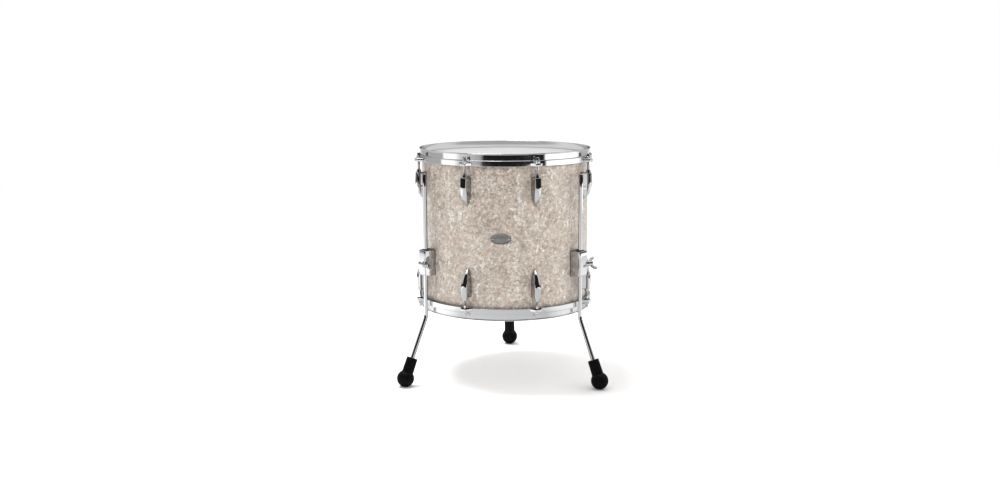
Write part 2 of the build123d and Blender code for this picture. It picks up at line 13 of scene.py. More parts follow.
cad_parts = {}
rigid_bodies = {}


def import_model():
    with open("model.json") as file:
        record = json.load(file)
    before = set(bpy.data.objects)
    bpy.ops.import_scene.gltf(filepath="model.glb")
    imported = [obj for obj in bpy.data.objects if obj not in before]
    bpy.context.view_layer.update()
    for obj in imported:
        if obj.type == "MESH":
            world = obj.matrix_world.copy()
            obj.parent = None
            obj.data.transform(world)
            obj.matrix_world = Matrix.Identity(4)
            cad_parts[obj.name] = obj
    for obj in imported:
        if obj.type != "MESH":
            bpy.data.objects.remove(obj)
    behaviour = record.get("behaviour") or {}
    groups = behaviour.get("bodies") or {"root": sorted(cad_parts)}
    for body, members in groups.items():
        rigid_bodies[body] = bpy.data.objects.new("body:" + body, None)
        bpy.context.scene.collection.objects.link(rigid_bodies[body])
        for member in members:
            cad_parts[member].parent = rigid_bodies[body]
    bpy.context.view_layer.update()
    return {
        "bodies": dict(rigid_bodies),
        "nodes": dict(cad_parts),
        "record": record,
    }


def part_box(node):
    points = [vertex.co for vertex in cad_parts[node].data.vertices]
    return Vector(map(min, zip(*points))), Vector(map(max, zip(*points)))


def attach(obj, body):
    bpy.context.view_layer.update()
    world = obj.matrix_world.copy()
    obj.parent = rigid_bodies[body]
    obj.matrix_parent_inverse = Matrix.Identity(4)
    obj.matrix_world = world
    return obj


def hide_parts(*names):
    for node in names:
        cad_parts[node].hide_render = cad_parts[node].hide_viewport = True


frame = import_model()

MM = 0.001

# ---------------------------------------------------------------- driving dimensions
shell_low, shell_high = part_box("shell")
wrap_low, wrap_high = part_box("shell_wrap")
badge_low, badge_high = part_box("badge_plate")

AXIS_Y = (shell_low.y + shell_high.y) / 2    # metres
LIP_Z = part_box("batter_hoop")[1].z / MM
MID_Z = (shell_low.z + shell_high.z) / 2 / MM
WRAP_R = (wrap_high.x - wrap_low.x) / 2 / MM
WRAP_BOTTOM, WRAP_TOP = wrap_low.z / MM, wrap_high.z / MM
BADGE_Z = (badge_low.z + badge_high.z) / 2 / MM

LUG_ANGLES = [22.5 + 45.0 * k for k in range(8)]
LEG_ANGLES = {"left": -57.0, "right": 57.0, "rear": 180.0}
VENT_ANGLE = 135.0
ENDS = (("batter", False), ("resonant", True))    # (end, turned over)
ROD_CIRCLE = 218.6     # radius on which the tension rods stand
LEG_CIRCLE = 219.5     # radius on which the legs stand
SEAT_R = 203.4         # radius of the backs of lugs and brackets


# ---------------------------------------------------------------- places
def at_depth(depth):
    return LIP_Z - depth


def round_axis(radius, angle, z):
    """Point at an angle from the front, in radians."""
    return (radius * math.sin(angle), -radius * math.cos(angle), z)


def place(angle=0.0, flip=False):
    """Carries a piece drawn at the front, batter end up, to its station round the drum."""
    matrix = Matrix.Translation((0, AXIS_Y, 0)) @ Matrix.Rotation(math.radians(angle), 4, "Z")
    if flip:
        lift = Matrix.Translation((0, 0, 2 * MID_Z * MM))
        matrix = matrix @ lift @ Matrix.Rotation(math.pi, 4, "Y")
    return matrix


def axes_at(origin, x_axis, z_axis):
    matrix = Matrix((x_axis, z_axis.cross(x_axis), z_axis)).transposed().to_4x4()
    matrix.translation = Vector(origin) * MM
    return matrix


def along(origin, direction):
    """Matrix whose Z runs along a level direction from origin (mm, at the front station)."""
    z_axis = Vector(direction).normalized()
    x_axis = Vector((0, 0, 1)).cross(z_axis)
    x_axis.normalize()
    return axes_at(origin, x_axis, z_axis)


def outward(z):
    """Matrix whose Z runs straight out of the drum's front, at height z."""
    return along((0, 0, z), (0, -1, 0))


# ---------------------------------------------------------------- outlines
def between(start, end, k, count):
    return tuple(a + (b - a) * k / count for a, b in zip(start, end))


def circle(centre, radius, count, phase=0.0):
    angles = [phase + 2 * math.pi * j / count for j in range(count)]
    return [(centre[0] + radius * math.cos(a), centre[1] + radius * math.sin(a)) for a in angles]


def turn_between(start, end):
    """The signed angle from start to end, the short way round."""
    return (end - start + math.pi) % (2 * math.pi) - math.pi


def rounded(points, steps=4):
    """Closed outline from (x, y) or (x, y, radius) corners; a radius turns a corner into an arc."""
    outline = []
    for i, point in enumerate(points):
        corner = Vector(point[:2])
        radius = point[2] if len(point) > 2 else 0.0
        back = Vector(points[i - 1][:2]) - corner
        ahead = Vector(points[(i + 1) % len(points)][:2]) - corner
        shorter = min(back.length, ahead.length)
        if radius <= 0 or shorter < 1e-6:
            outline.append((corner.x, corner.y))
            continue
        back.normalize()
        ahead.normalize()
        angle = math.acos(max(-1.0, min(1.0, back.dot(ahead))))
        if angle > math.pi - 0.02:
            outline.append((corner.x, corner.y))
            continue
        trim = min(radius / math.tan(angle / 2), shorter * 0.49)
        radius = trim * math.tan(angle / 2)
        centre = corner + (back + ahead).normalized() * (radius / math.sin(angle / 2))
        first, last = corner + back * trim - centre, corner + ahead * trim - centre
        start = math.atan2(first.y, first.x)
        sweep = turn_between(start, math.atan2(last.y, last.x))
        for k in range(steps + 1):
            a = start + sweep * k / steps
            outline.append((centre.x + radius * math.cos(a), centre.y + radius * math.sin(a)))
    return outline


def dense(profile, limit):
    """Splits the long spans of a closed profile, so that a turned surface keeps even quads."""
    points = []
    for i, start in enumerate(profile):
        end = profile[(i + 1) % len(profile)]
        steps = max(1, int(math.hypot(end[0] - start[0], end[1] - start[1]) / limit))
        points += [between(start, end, k, steps) for k in range(steps)]
    return points


def ray_outline(outline, centre, count, phase=0.0):
    """Points where rays from centre meet a closed outline, so that the loops of a piece line up."""
    points = []
    for j in range(count):
        angle = phase + 2 * math.pi * j / count
        ray_x, ray_y = math.cos(angle), math.sin(angle)
        nearest = None
        for i, start in enumerate(outline):
            end = outline[(i + 1) % len(outline)]
            edge_x, edge_y = end[0] - start[0], end[1] - start[1]
            to_x, to_y = start[0] - centre[0], start[1] - centre[1]
            cross = ray_x * edge_y - ray_y * edge_x
            if abs(cross) < 1e-12:
                continue
            reach = (to_x * edge_y - to_y * edge_x) / cross
            share = (to_x * ray_y - to_y * ray_x) / cross
            on_edge = reach > 1e-9 and -1e-6 <= share <= 1 + 1e-6
            if on_edge and (nearest is None or reach < nearest):
                nearest = reach
        points.append((centre[0] + ray_x * nearest, centre[1] + ray_y * nearest))
    return points


def circle_through(a, b, c):
    """Centre x, centre y and radius of the circle through three points."""
    (ax, ay), (bx, by), (cx, cy) = a, b, c
    a_sq, b_sq, c_sq = ax * ax + ay * ay, bx * bx + by * by, cx * cx + cy * cy
    scale = 2 * (ax * (by - cy) + bx * (cy - ay) + cx * (ay - by))
    x = (a_sq * (by - cy) + b_sq * (cy - ay) + c_sq * (ay - by)) / scale
    y = (a_sq * (cx - bx) + b_sq * (ax - cx) + c_sq * (bx - ax)) / scale
    return x, y, math.hypot(ax - x, ay - y)


def sample_arc(first, middle, last, steps):
    x, y, radius = circle_through(first, middle, last)
    start, halfway, end = (math.atan2(p[1] - y, p[0] - x) for p in (first, middle, last))
    sweep = turn_between(start, halfway) + turn_between(halfway, end)
    angles = [start + sweep * k / steps for k in range(steps + 1)]
    return [(x + radius * math.cos(a), y + radius * math.sin(a)) for a in angles]


# ---------------------------------------------------------------- meshes
def smooth_mesh(bm, name, sharp):
    """Turns bm into a smooth mesh with sharp edges above an angle in degrees."""
    bmesh.ops.recalc_face_normals(bm, faces=bm.faces)
    mesh = bpy.data.meshes.new(name)
    bm.to_mesh(mesh)
    bm.free()
    for polygon in mesh.polygons:
        polygon.use_smooth = True
    mesh.set_sharp_from_angle(angle=math.radians(sharp))
    return mesh


def finish_mesh(bm, name, sharp):
    bmesh.ops.remove_doubles(bm, verts=bm.verts, dist=2e-7)
    bmesh.ops.dissolve_degenerate(bm, edges=bm.edges, dist=1e-7)
    return smooth_mesh(bm, name, sharp)


def loft(bm, loops, closed=False, caps=False, matrix=Matrix()):
    """Adds a surface through loops of equal length; closed joins the last loop to the first."""
    rows = [[bm.verts.new(matrix @ (Vector(p) * MM)) for p in loop] for loop in loops]
    count = len(rows[0])
    pairs = list(zip(rows, rows[1:])) + ([(rows[-1], rows[0])] if closed else [])
    for a, b in pairs:
        for j in range(count):
            k = (j + 1) % count
            bm.faces.new((a[j], a[k], b[k], b[j]))
    if caps:
        bm.faces.new(list(reversed(rows[0])))
        bm.faces.new(rows[-1])
    return rows


def lathe(bm, profile, segments, matrix, closed=True):
    """Adds a solid turned about Z from (radius, z) points; a closed profile makes a ring."""
    angles = [2 * math.pi * j / segments for j in range(segments)]
    loops = [[round_axis(max(r, 1e-6), a, z) for a in angles] for r, z in profile]
    loft(bm, loops, closed=closed, matrix=matrix)


def turned_ring(name, profile, segments, matrix):
    bm = bmesh.new()
    lathe(bm, profile, segments, matrix)
    return finish_mesh(bm, name, sharp=42)


def piece(name, mesh, slot, body, node, matrix=None, weighted=True):
    """Makes the object that stands for a CAD node and rides on a body."""
    ob = bpy.data.objects.new(name, mesh)
    bpy.context.scene.collection.objects.link(ob)
    if matrix is not None:
        ob.matrix_world = matrix
    if not mesh.materials:
        mesh.materials.append(MAT[slot])
    if weighted:
        modifier = ob.modifiers.new("weighted", "WEIGHTED_NORMAL")
        modifier.keep_sharp = True
        modifier.weight = 60
    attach(ob, body)
    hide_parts(node)


# ---------------------------------------------------------------- shader helpers
MID_BAND = (0.3, 0.7)    # where most of a noise's values fall


def rgba(value):
    return (*value, 1.0) if isinstance(value, tuple) else value


class ShaderTree:
    """A short way to build the node tree of a material or a world."""

    def __init__(self, owner):
        owner.use_nodes = True
        self.tree = owner.node_tree

    def add(self, kind, **values):
        node = self.tree.nodes.new(kind)
        for key, value in values.items():
            setattr(node, key, value)
        return node

    def put(self, socket, value):
        if isinstance(value, bpy.types.NodeSocket):
            self.tree.links.new(value, socket)
        else:
            socket.default_value = value

    def light_path(self):
        return self.add("ShaderNodeLightPath").outputs

    def ramp(self, fac, stops):
        """Colour ramp from (position, grey or colour) stops."""
        node = self.add("ShaderNodeValToRGB")
        elements = node.color_ramp.elements
        while len(elements) < len(stops):
            elements.new(0.5)
        for element, (position, colour) in zip(elements, stops):
            element.position = position
            element.color = rgba(colour if isinstance(colour, tuple) else (colour,) * 3)
        self.put(node.inputs["Fac"], fac)
        return node.outputs["Color"]

    def remap(self, fac, to, over=(0.0, 1.0)):
        """Carries the span over onto the span to, and holds the ends."""
        node = self.add("ShaderNodeMapRange")
        self.put(node.inputs["Value"], fac)
        for key, value in zip(("From Min", "From Max", "To Min", "To Max"), (*over, *to)):
            node.inputs[key].default_value = value
        return node.outputs["Result"]

    def math(self, operation, a, b=0.0):
        node = self.add("ShaderNodeMath", operation=operation)
        self.put(node.inputs[0], a)
        self.put(node.inputs[1], b)
        return node.outputs[0]

    def vmath(self, operation, a, b=None, scale=None):
        node = self.add("ShaderNodeVectorMath", operation=operation)
        self.put(node.inputs[0], a)
        if b is not None:
            self.put(node.inputs[1], b)
        if scale is not None:
            self.put(node.inputs["Scale"], scale)
        return node.outputs["Value" if operation == "DOT_PRODUCT" else "Vector"]

    def mix(self, fac, a, b, blend="MIX"):
        node = self.add("ShaderNodeMix", data_type="RGBA", blend_type=blend)
        self.put(node.inputs[0], fac)
        self.put(node.inputs[6], rgba(a))
        self.put(node.inputs[7], rgba(b))
        return node.outputs[2]

    def multiply(self, a, b):
        return self.mix(1.0, a, b, "MULTIPLY")

    def split(self, vector):
        node = self.add("ShaderNodeSeparateXYZ")
        self.put(node.inputs[0], vector)
        return node.outputs

    def combine(self, x, y):
        node = self.add("ShaderNodeCombineXYZ")
        self.put(node.inputs[0], x)
        self.put(node.inputs[1], y)
        return node.outputs[0]


class Surface(ShaderTree):
    """A new material with a Principled BSDF."""

    def __init__(self, name):
        self.material = bpy.data.materials.new(name)
        super().__init__(self.material)
        self.bsdf = self.tree.nodes["Principled BSDF"]
        self.coords = self.add("ShaderNodeTexCoord").outputs

    def set(self, key, value):
        self.put(self.bsdf.inputs[key], value)

    def mapping(self, scale=(1, 1, 1)):
        node = self.add("ShaderNodeMapping")
        self.put(node.inputs["Vector"], self.coords["Object"])
        node.inputs["Scale"].default_value = scale
        return node.outputs["Vector"]

    def noise(self, vector, scale, detail=3.0, rough=0.5, distortion=0.0, out="Fac"):
        node = self.add("ShaderNodeTexNoise")
        self.put(node.inputs["Vector"], vector)
        node.inputs["Scale"].default_value = scale
        node.inputs["Detail"].default_value = detail
        node.inputs["Roughness"].default_value = rough
        node.inputs["Distortion"].default_value = distortion
        return node.outputs[out]

    def centred(self, colour, scale):
        """A random colour as a vector about zero."""
        return self.vmath("SCALE", self.vmath("SUBTRACT", colour, (0.5, 0.5, 0.5)), scale=scale)

    def bump(self, height, strength, distance, normal=None):
        node = self.add("ShaderNodeBump")
        node.inputs["Strength"].default_value = strength
        node.inputs["Distance"].default_value = distance
        self.put(node.inputs["Height"], height)
        if normal is not None:
            self.put(node.inputs["Normal"], normal)
        return node.outputs["Normal"]

    def from_axis(self, pos):
        """x, y and z of a position, with x and y measured from the drum's axis."""
        xyz = self.split(pos)
        return xyz[0], self.math("SUBTRACT", xyz[1], AXIS_Y), xyz[2]


# ---------------------------------------------------------------- materials
def chrome():
    mat = Surface("bright_chrome")
    pos = mat.mapping()
    tint = (0.90, 0.903, 0.908)
    haze = mat.noise(pos, scale=38.0, detail=5.0, rough=0.6)
    grime = mat.noise(pos, scale=9.0, rough=0.55, distortion=0.6)
    fine = mat.noise(pos, scale=900.0, detail=2.0)
    mat.set("Metallic", 1.0)
    mat.set("Base Color", mat.ramp(grime, [(0.25, tuple(c * 0.93 for c in tint)), (0.6, tint)]))
    hazed = mat.remap(haze, to=(0.02, 0.065), over=(0.3, 0.75))
    mat.set("Roughness", mat.math("ADD", hazed, mat.remap(fine, to=(0.0, 0.02), over=(0.4, 0.7))))
    swell = mat.noise(pos, scale=55.0, detail=2.0, rough=0.4)
    waves = mat.bump(swell, strength=0.007, distance=0.002)
    peel = mat.noise(pos, scale=420.0, detail=2.0)
    mat.set("Normal", mat.bump(peel, strength=0.018, distance=0.0002, normal=waves))
    return mat.material


def pearl_chips(mat, vector, scale, smoothness):
    """A layer of chips: random colour, its channels, and place across the chip, about -1 to 1."""
    cells = mat.add("ShaderNodeTexVoronoi", feature="SMOOTH_F1", voronoi_dimensions="2D")
    mat.put(cells.inputs["Vector"], vector)
    cells.inputs["Scale"].default_value = scale
    cells.inputs["Smoothness"].default_value = smoothness
    colour = cells.outputs["Color"]
    channels = mat.split(colour)
    local = mat.vmath("SUBTRACT", vector, cells.outputs["Position"])
    turn = mat.math("MULTIPLY", channels[1], 6.2832)    # a full turn, in radians
    axis = mat.combine(mat.math("COSINE", turn), mat.math("SINE", turn))
    # 1.7 widens the distance to fill the span of a chip
    across = mat.math("MULTIPLY", mat.vmath("DOT_PRODUCT", local, axis), scale * 1.7)
    return colour, channels, across


def pearlescent_wrap():
    """Cream mother-of-pearl laminate: curved translucent chips, silky inside, under a clear gloss."""
    mat = Surface("pearlescent_wrap")
    uv = mat.coords["UV"]
    bends = mat.centred(mat.noise(uv, scale=70.0, detail=2.0, out="Color"), scale=0.020)
    frays = mat.centred(mat.noise(uv, scale=260.0, detail=2.0, out="Color"), scale=0.0045)

    # two warped copies of the sheet, each stretched its own way; the second is also shifted
    warped = mat.vmath("ADD", mat.vmath("ADD", uv, bends), frays)
    warped = mat.vmath("MULTIPLY", warped, (1.2, 0.72, 1.0))
    shifted = mat.vmath("ADD", mat.vmath("SUBTRACT", uv, bends), frays)
    shifted = mat.vmath("ADD", shifted, (0.37, 0.11, 0.0))
    shifted = mat.vmath("MULTIPLY", shifted, (0.75, 1.2, 1.0))
    big, big_rnd, big_across = pearl_chips(mat, warped, scale=150.0, smoothness=0.22)
    small, small_rnd, small_across = pearl_chips(mat, shifted, scale=330.0, smoothness=0.30)

    # silky lines that run across each chip: their frequency, and how far noise shifts them
    lines = mat.math("MULTIPLY", big_across, 7.0)
    wander = mat.math("MULTIPLY", mat.noise(uv, scale=600.0, detail=2.0), 9.0)
    silk = mat.math("SINE", mat.math("ADD", lines, wander))

    # brightness: a level per chip, a slope across it, the silk (at 0.05) and broad clouds
    level = mat.math("ADD", mat.remap(big_rnd[0], to=(-0.14, 0.14)),
                     mat.remap(small_rnd[0], to=(-0.13, 0.13)))
    level = mat.math("ADD", level, mat.remap(big_across, to=(-0.15, 0.15), over=(-1.0, 1.0)))
    level = mat.math("ADD", level, mat.remap(small_across, to=(-0.11, 0.11), over=(-1.0, 1.0)))
    level = mat.math("ADD", level, mat.math("MULTIPLY", silk, 0.05))
    cloud = mat.noise(uv, scale=16.0, rough=0.6, distortion=0.4)
    level = mat.math("ADD", level, mat.remap(cloud, to=(0.38, 0.60), over=MID_BAND))
    colour = mat.ramp(level, [
        (0.08, (0.330, 0.262, 0.212)),
        (0.30, (0.445, 0.368, 0.312)),
        (0.50, (0.530, 0.455, 0.397)),
        (0.68, (0.630, 0.565, 0.505)),
        (0.82, (0.790, 0.745, 0.695)),
        (0.95, (0.950, 0.930, 0.905)),
    ])
    # each chip's hue: 0.6 from the big layer, 0.4 from the small
    hue_pick = mat.math("ADD", mat.math("MULTIPLY", big_rnd[2], 0.6),
                        mat.math("MULTIPLY", small_rnd[2], 0.4))
    hue = mat.ramp(hue_pick, [
        (0.15, (1.05, 0.975, 0.945)),
        (0.45, (1.0, 1.0, 0.97)),
        (0.70, (0.97, 1.0, 0.945)),
        (0.92, (1.0, 0.98, 1.06)),
    ])
    # painted shade: mirrored in the chrome, the wrap is painted darker, and it is less glossy
    mirrored = mat.light_path()["Is Glossy Ray"]
    tinted = mat.multiply(colour, hue)
    mat.set("Base Color", mat.mix(mirrored, tinted, mat.multiply(tinted, (0.46, 0.435, 0.42))))

    # each chip leans its own way, and bends a little inside
    tilt = mat.vmath("ADD", mat.centred(big, scale=0.26), mat.centred(small, scale=0.26))
    bend = mat.noise(warped, scale=330.0, detail=1.0, out="Color")
    lean = mat.vmath("ADD", tilt, mat.centred(bend, scale=0.20))
    normal = mat.add("ShaderNodeNewGeometry").outputs["Normal"]
    mat.set("Normal", mat.vmath("NORMALIZE", mat.vmath("ADD", normal, lean)))
    mat.set("Metallic", mat.remap(small_rnd[2], to=(0.10, 0.50), over=(0.2, 0.9)))
    mat.set("Roughness", mat.remap(big_rnd[2], to=(0.30, 0.52)))
    mat.set("Specular IOR Level", 0.6)
    mat.set("Coat Weight", mat.remap(mirrored, to=(1.0, 0.3)))
    mat.set("Coat IOR", 1.5)
    coat_haze = mat.noise(uv, scale=30.0, detail=4.0, rough=0.6)
    mat.set("Coat Roughness", mat.remap(coat_haze, to=(0.015, 0.05), over=MID_BAND))
    ripple = mat.noise(uv, scale=24.0, detail=2.0, rough=0.4)
    mat.set("Coat Normal", mat.bump(ripple, strength=0.03, distance=0.001))
    return mat.material


def coated_film():
    """White grainy coating that stops in a thin bare border near the hoop."""
    mat = Surface("coated_film")
    pos = mat.mapping()
    grain = mat.noise(pos, scale=1500.0, rough=0.6)
    cloud = mat.noise(pos, scale=11.0, detail=4.0, rough=0.6, distortion=0.5)
    x, y, _ = mat.from_axis(pos)
    squares = mat.math("ADD", mat.math("MULTIPLY", x, x), mat.math("MULTIPLY", y, y))
    radius = mat.math("SQRT", squares)
    ragged = mat.math("ADD", radius, mat.remap(grain, to=(-0.0006, 0.0006)))
    coat = mat.remap(ragged, to=(1.0, 0.0), over=(0.1955, 0.1965))
    coated = mat.ramp(cloud, [(0.3, (0.515, 0.515, 0.51)), (0.65, (0.565, 0.565, 0.56))])
    glossy_ray = mat.light_path()["Is Glossy Ray"]
    # painted reflection: in the hoop's wall the near rim of the head is painted white and its middle
    # painted grey, as shade;
    # 5.0 brings the radius in metres to the ramp's span
    mirrored = mat.ramp(mat.math("MULTIPLY", radius, 5.0),
                        [(0.56, (0.31, 0.31, 0.305)), (0.70, (0.56, 0.56, 0.555))])
    direct = mat.mix(coat, (0.50, 0.50, 0.49), coated)
    mat.set("Base Color", mat.mix(glossy_ray, direct, mirrored))
    mat.set("Roughness", mat.math("ADD", mat.remap(coat, to=(0.22, 0.50)),
                                  mat.remap(grain, to=(-0.04, 0.06), over=MID_BAND)))
    mat.set("Sheen Weight", 0.08)
    height = mat.math("MULTIPLY", grain, coat)
    mat.set("Normal", mat.bump(height, strength=0.35, distance=0.0003))
    return mat.material


def hazy_film():
    mat = Surface("hazy_film")
    pos = mat.mapping()
    cloud = mat.noise(pos, scale=13.0, detail=4.0, rough=0.6, distortion=0.5)
    haze = mat.noise(pos, scale=60.0, detail=4.0, rough=0.6)
    grain = mat.noise(pos, scale=1100.0, detail=2.0)
    mat.set("Base Color", mat.ramp(cloud, [(0.3, (0.70, 0.71, 0.71)), (0.7, (0.80, 0.80, 0.79))]))
    mat.set("Roughness", mat.remap(haze, to=(0.18, 0.34), over=MID_BAND))
    mat.set("Normal", mat.bump(grain, strength=0.12, distance=0.0002))
    return mat.material


def rubber(name, base):
    """Black rubber of grey level base, with paler dust."""
    mat = Surface(name)
    pos = mat.mapping()
    dust = mat.noise(pos, scale=45.0, detail=5.0, rough=0.65, distortion=0.3)
    pores = mat.noise(pos, scale=1300.0, rough=0.6)
    wear = mat.noise(pos, scale=90.0, detail=4.0, rough=0.6)
    dusty = (base * 2.4, base * 2.35, base * 2.3)
    mat.set("Base Color", mat.ramp(dust, [(0.35, (base, base, base * 1.04)), (0.75, dusty)]))
    mat.set("Roughness", mat.remap(wear, to=(0.46, 0.64), over=MID_BAND))
    mat.set("Specular IOR Level", 0.13)
    mat.set("Normal", mat.bump(pores, strength=0.22, distance=0.0002))
    return mat.material


def nylon(name, colour):
    mat = Surface(name)
    pos = mat.mapping()
    mottle = mat.noise(pos, scale=60.0, detail=4.0, rough=0.6)
    darker = tuple(c * 0.85 for c in colour)
    mat.set("Base Color", mat.ramp(mottle, [(0.3, darker), (0.7, colour)]))
    wear = mat.noise(pos, scale=240.0, rough=0.6)
    mat.set("Roughness", mat.remap(wear, to=(0.34, 0.52), over=MID_BAND))
    grain = mat.noise(pos, scale=900.0, detail=2.0)
    mat.set("Normal", mat.bump(grain, strength=0.10, distance=0.0002))
    return mat.material


def turned_metal(name, tint, rough=(0.22, 0.38)):
    """Metal with fine level turning marks."""
    mat = Surface(name)
    mottle = mat.noise(mat.mapping(), scale=70.0, detail=4.0, rough=0.6)
    marks = mat.noise(mat.mapping(scale=(0.12, 0.12, 1.0)), scale=2600.0, rough=0.6)
    darker = tuple(c * 0.8 for c in tint)
    mat.set("Metallic", 1.0)
    mat.set("Base Color", mat.ramp(mottle, [(0.3, darker), (0.7, tint)]))
    mat.set("Roughness", mat.remap(marks, to=rough, over=MID_BAND))
    mat.set("Normal", mat.bump(marks, strength=0.10, distance=0.0001))
    return mat.material


def satin_badge():
    """Metal brushed from side to side."""
    mat = Surface("satin_badge")
    mottle = mat.noise(mat.mapping(), scale=120.0, detail=4.0, rough=0.6)
    brushed = mat.noise(mat.mapping(scale=(0.05, 1.0, 1.0)), scale=2400.0, rough=0.6)
    mat.set("Metallic", 1.0)
    mat.set("Base Color", mat.ramp(mottle, [(0.3, (0.40, 0.39, 0.38)), (0.7, (0.56, 0.55, 0.54))]))
    mat.set("Roughness", mat.remap(brushed, to=(0.24, 0.42), over=MID_BAND))
    mat.set("Normal", mat.bump(brushed, strength=0.16, distance=0.0001))
    return mat.material


def wood_shell():
    """Wood whose grain runs round the shell."""
    mat = Surface("wood_shell")
    x, y, z = mat.from_axis(mat.mapping())
    # unrolled at a radius of 0.2 m
    sheet = mat.combine(mat.math("MULTIPLY", mat.math("ARCTAN2", x, y), 0.2), z)
    grain = mat.noise(mat.vmath("MULTIPLY", sheet, (1.0, 14.0, 1.0)),
                      scale=9.0, detail=6.0, rough=0.6, distortion=1.4)
    fibre = mat.noise(mat.vmath("MULTIPLY", sheet, (1.0, 26.0, 1.0)),
                      scale=60.0, detail=4.0, rough=0.6)
    # 0.7 grain, 0.3 fibre
    both = mat.math("ADD", mat.math("MULTIPLY", grain, 0.7), mat.math("MULTIPLY", fibre, 0.3))
    mat.set("Base Color", mat.ramp(both, [
        (0.32, (0.36, 0.21, 0.11)), (0.5, (0.55, 0.37, 0.22)), (0.7, (0.68, 0.50, 0.32))]))
    mat.set("Roughness", mat.remap(fibre, to=(0.38, 0.58), over=MID_BAND))
    mat.set("Normal", mat.bump(fibre, strength=0.25, distance=0.0003))
    return mat.material


MAT = {
    "bright_chrome": chrome(),
    "pearlescent_wrap": pearlescent_wrap(),
    "coated_film": coated_film(),
    "hazy_film": hazy_film(),
    "black_rubber": rubber("black_rubber", base=0.0015),
    "black_gasket": rubber("black_gasket", base=0.016),
    "black_nylon": nylon("black_nylon", colour=(0.022, 0.022, 0.024)),
    "white_nylon": nylon("white_nylon", colour=(0.76, 0.75, 0.71)),
    "zinc_steel": turned_metal("zinc_steel", tint=(0.66, 0.67, 0.70)),
    "brass_nut": turned_metal("brass_nut", tint=(0.78, 0.60, 0.30)),
    "aluminium_hoop": turned_metal("aluminium_hoop", tint=(0.78, 0.79, 0.80), rough=(0.3, 0.45)),
    "satin_badge": satin_badge(),
    "wood_shell": wood_shell(),
}

# ---------------------------------------------------------------- finishes of the CAD nodes
# A node takes the slot its record names; failing that, the first part of a name that fits here.
SLOT_BY_PART = (
    ("gasket", "black_gasket"), ("nylon", "white_nylon"), ("rod_washers", "bright_chrome"),
    ("screw_washers", "zinc_steel"), ("lug_screws", "zinc_steel"),
    ("bracket_screws", "zinc_steel"), ("backing", "zinc_steel"), ("flesh", "aluminium_hoop"),
    ("swivel_nuts", "brass_nut"), ("clamp_pad", "brass_nut"), ("retainers", "white_nylon"),
    ("bush", "black_nylon"), ("wrap", "pearlescent_wrap"), ("shell", "wood_shell"),
    ("batter_head", "coated_film"), ("resonant_head", "hazy_film"),
    ("badge_plate", "satin_badge"), ("foot", "black_rubber"),
)
recorded_slots = {
    row["name"]: row.get("material_slot") or row.get("slot")
    for row in frame["record"].get("nodes") or []
    if isinstance(row, dict) and row.get("name")
}


def slot_of(name):
    if recorded_slots.get(name) in MAT:
        return recorded_slots[name]
    return next((slot for part, slot in SLOT_BY_PART if part in name), "bright_chrome")


for name, ob in frame["nodes"].items():
    ob.data.materials.clear()
    ob.data.materials.append(MAT[slot_of(name)])


# ---------------------------------------------------------------- wrap
def wrap_mesh():
    """The sheet, with its glued overlap under a rear lug line; its UV map is in metres."""
    segments, rows_up = 720, 24
    thick, bevel = 0.6, 0.15
    seam = math.radians(LUG_ANGLES[4])
    lap_height, lap_half, lap_ramp = 0.42, 0.040, 0.004    # mm, then radians
    inner, outer = WRAP_R - thick, WRAP_R
    flat = WRAP_TOP - WRAP_BOTTOM - 2 * bevel
    profile = [(inner, WRAP_BOTTOM), (outer - bevel, WRAP_BOTTOM), (outer, WRAP_BOTTOM + bevel)]
    profile += [(outer, WRAP_BOTTOM + bevel + flat * k / rows_up) for k in range(1, rows_up)]
    profile += [(outer, WRAP_TOP - bevel), (outer - bevel, WRAP_TOP), (inner, WRAP_TOP)]
    loops = []
    for radius, z in profile:
        loop = []
        for j in range(segments):
            angle = seam + 2 * math.pi * (j + 0.5) / segments
            from_seam = abs(turn_between(seam, angle))
            lap = lap_height * max(0.0, min(1.0, (lap_half - from_seam) / lap_ramp))
            if radius <= inner + 0.1:
                lap = 0.0
            loop.append(round_axis(radius + lap, angle, z))
        loops.append(loop)
    bm = bmesh.new()
    rows = loft(bm, loops, closed=True)

    full = 2 * math.pi * outer * MM
    uv_of = {}
    for row in rows:
        for j, vert in enumerate(row):
            uv_of[vert] = ((j + 0.5) / segments * 2 * math.pi * outer * MM, vert.co.z)
    layer = bm.loops.layers.uv.new("UVMap")
    for face in bm.faces:
        face_us = [uv_of[corner.vert][0] for corner in face.loops]
        crosses_seam = max(face_us) - min(face_us) > full / 2
        for corner in face.loops:
            u, v = uv_of[corner.vert]
            corner[layer].uv = (u + full if crosses_seam and u < full / 2 else u, v)
    mesh = smooth_mesh(bm, "wrap_sheet", sharp=50)
    mesh.transform(place())
    return mesh


piece("wrap_sheet", wrap_mesh(), "pearlescent_wrap", "drum_body", "shell_wrap", weighted=False)

# ---------------------------------------------------------------- hoops
HOOP_R = 204.1                    # inner radius
HOOP_GAUGE, SKIRT_GAUGE = 2.3, 2.2
LIP_R, SKIRT_R = 208.4, 212.2     # outer radii
SHELF, SKIRT_END = 16.0, 29.3     # depths of the step out to the skirt, and of its edge
SHELF_UNDER = SHELF + HOOP_GAUGE
HOOP_PROFILE = rounded([          # (radius, depth, corner radius)
    (HOOP_R, 0.0, 0.9), (LIP_R, 0.0, 1.1), (LIP_R, 2.4, 0.95), (HOOP_R + HOOP_GAUGE, 3.0, 0.35),
    (HOOP_R + HOOP_GAUGE, SHELF, 0.55), (SKIRT_R, SHELF, 1.3), (SKIRT_R, SKIRT_END, 0.8),
    (SKIRT_R - SKIRT_GAUGE, SKIRT_END, 0.7), (SKIRT_R - SKIRT_GAUGE, SHELF_UNDER, 0.4),
    (HOOP_R, SHELF_UNDER, 0.5),
], 6)
EAR_TOP, EAR_BOTTOM = 20.8, 28.4  # depths
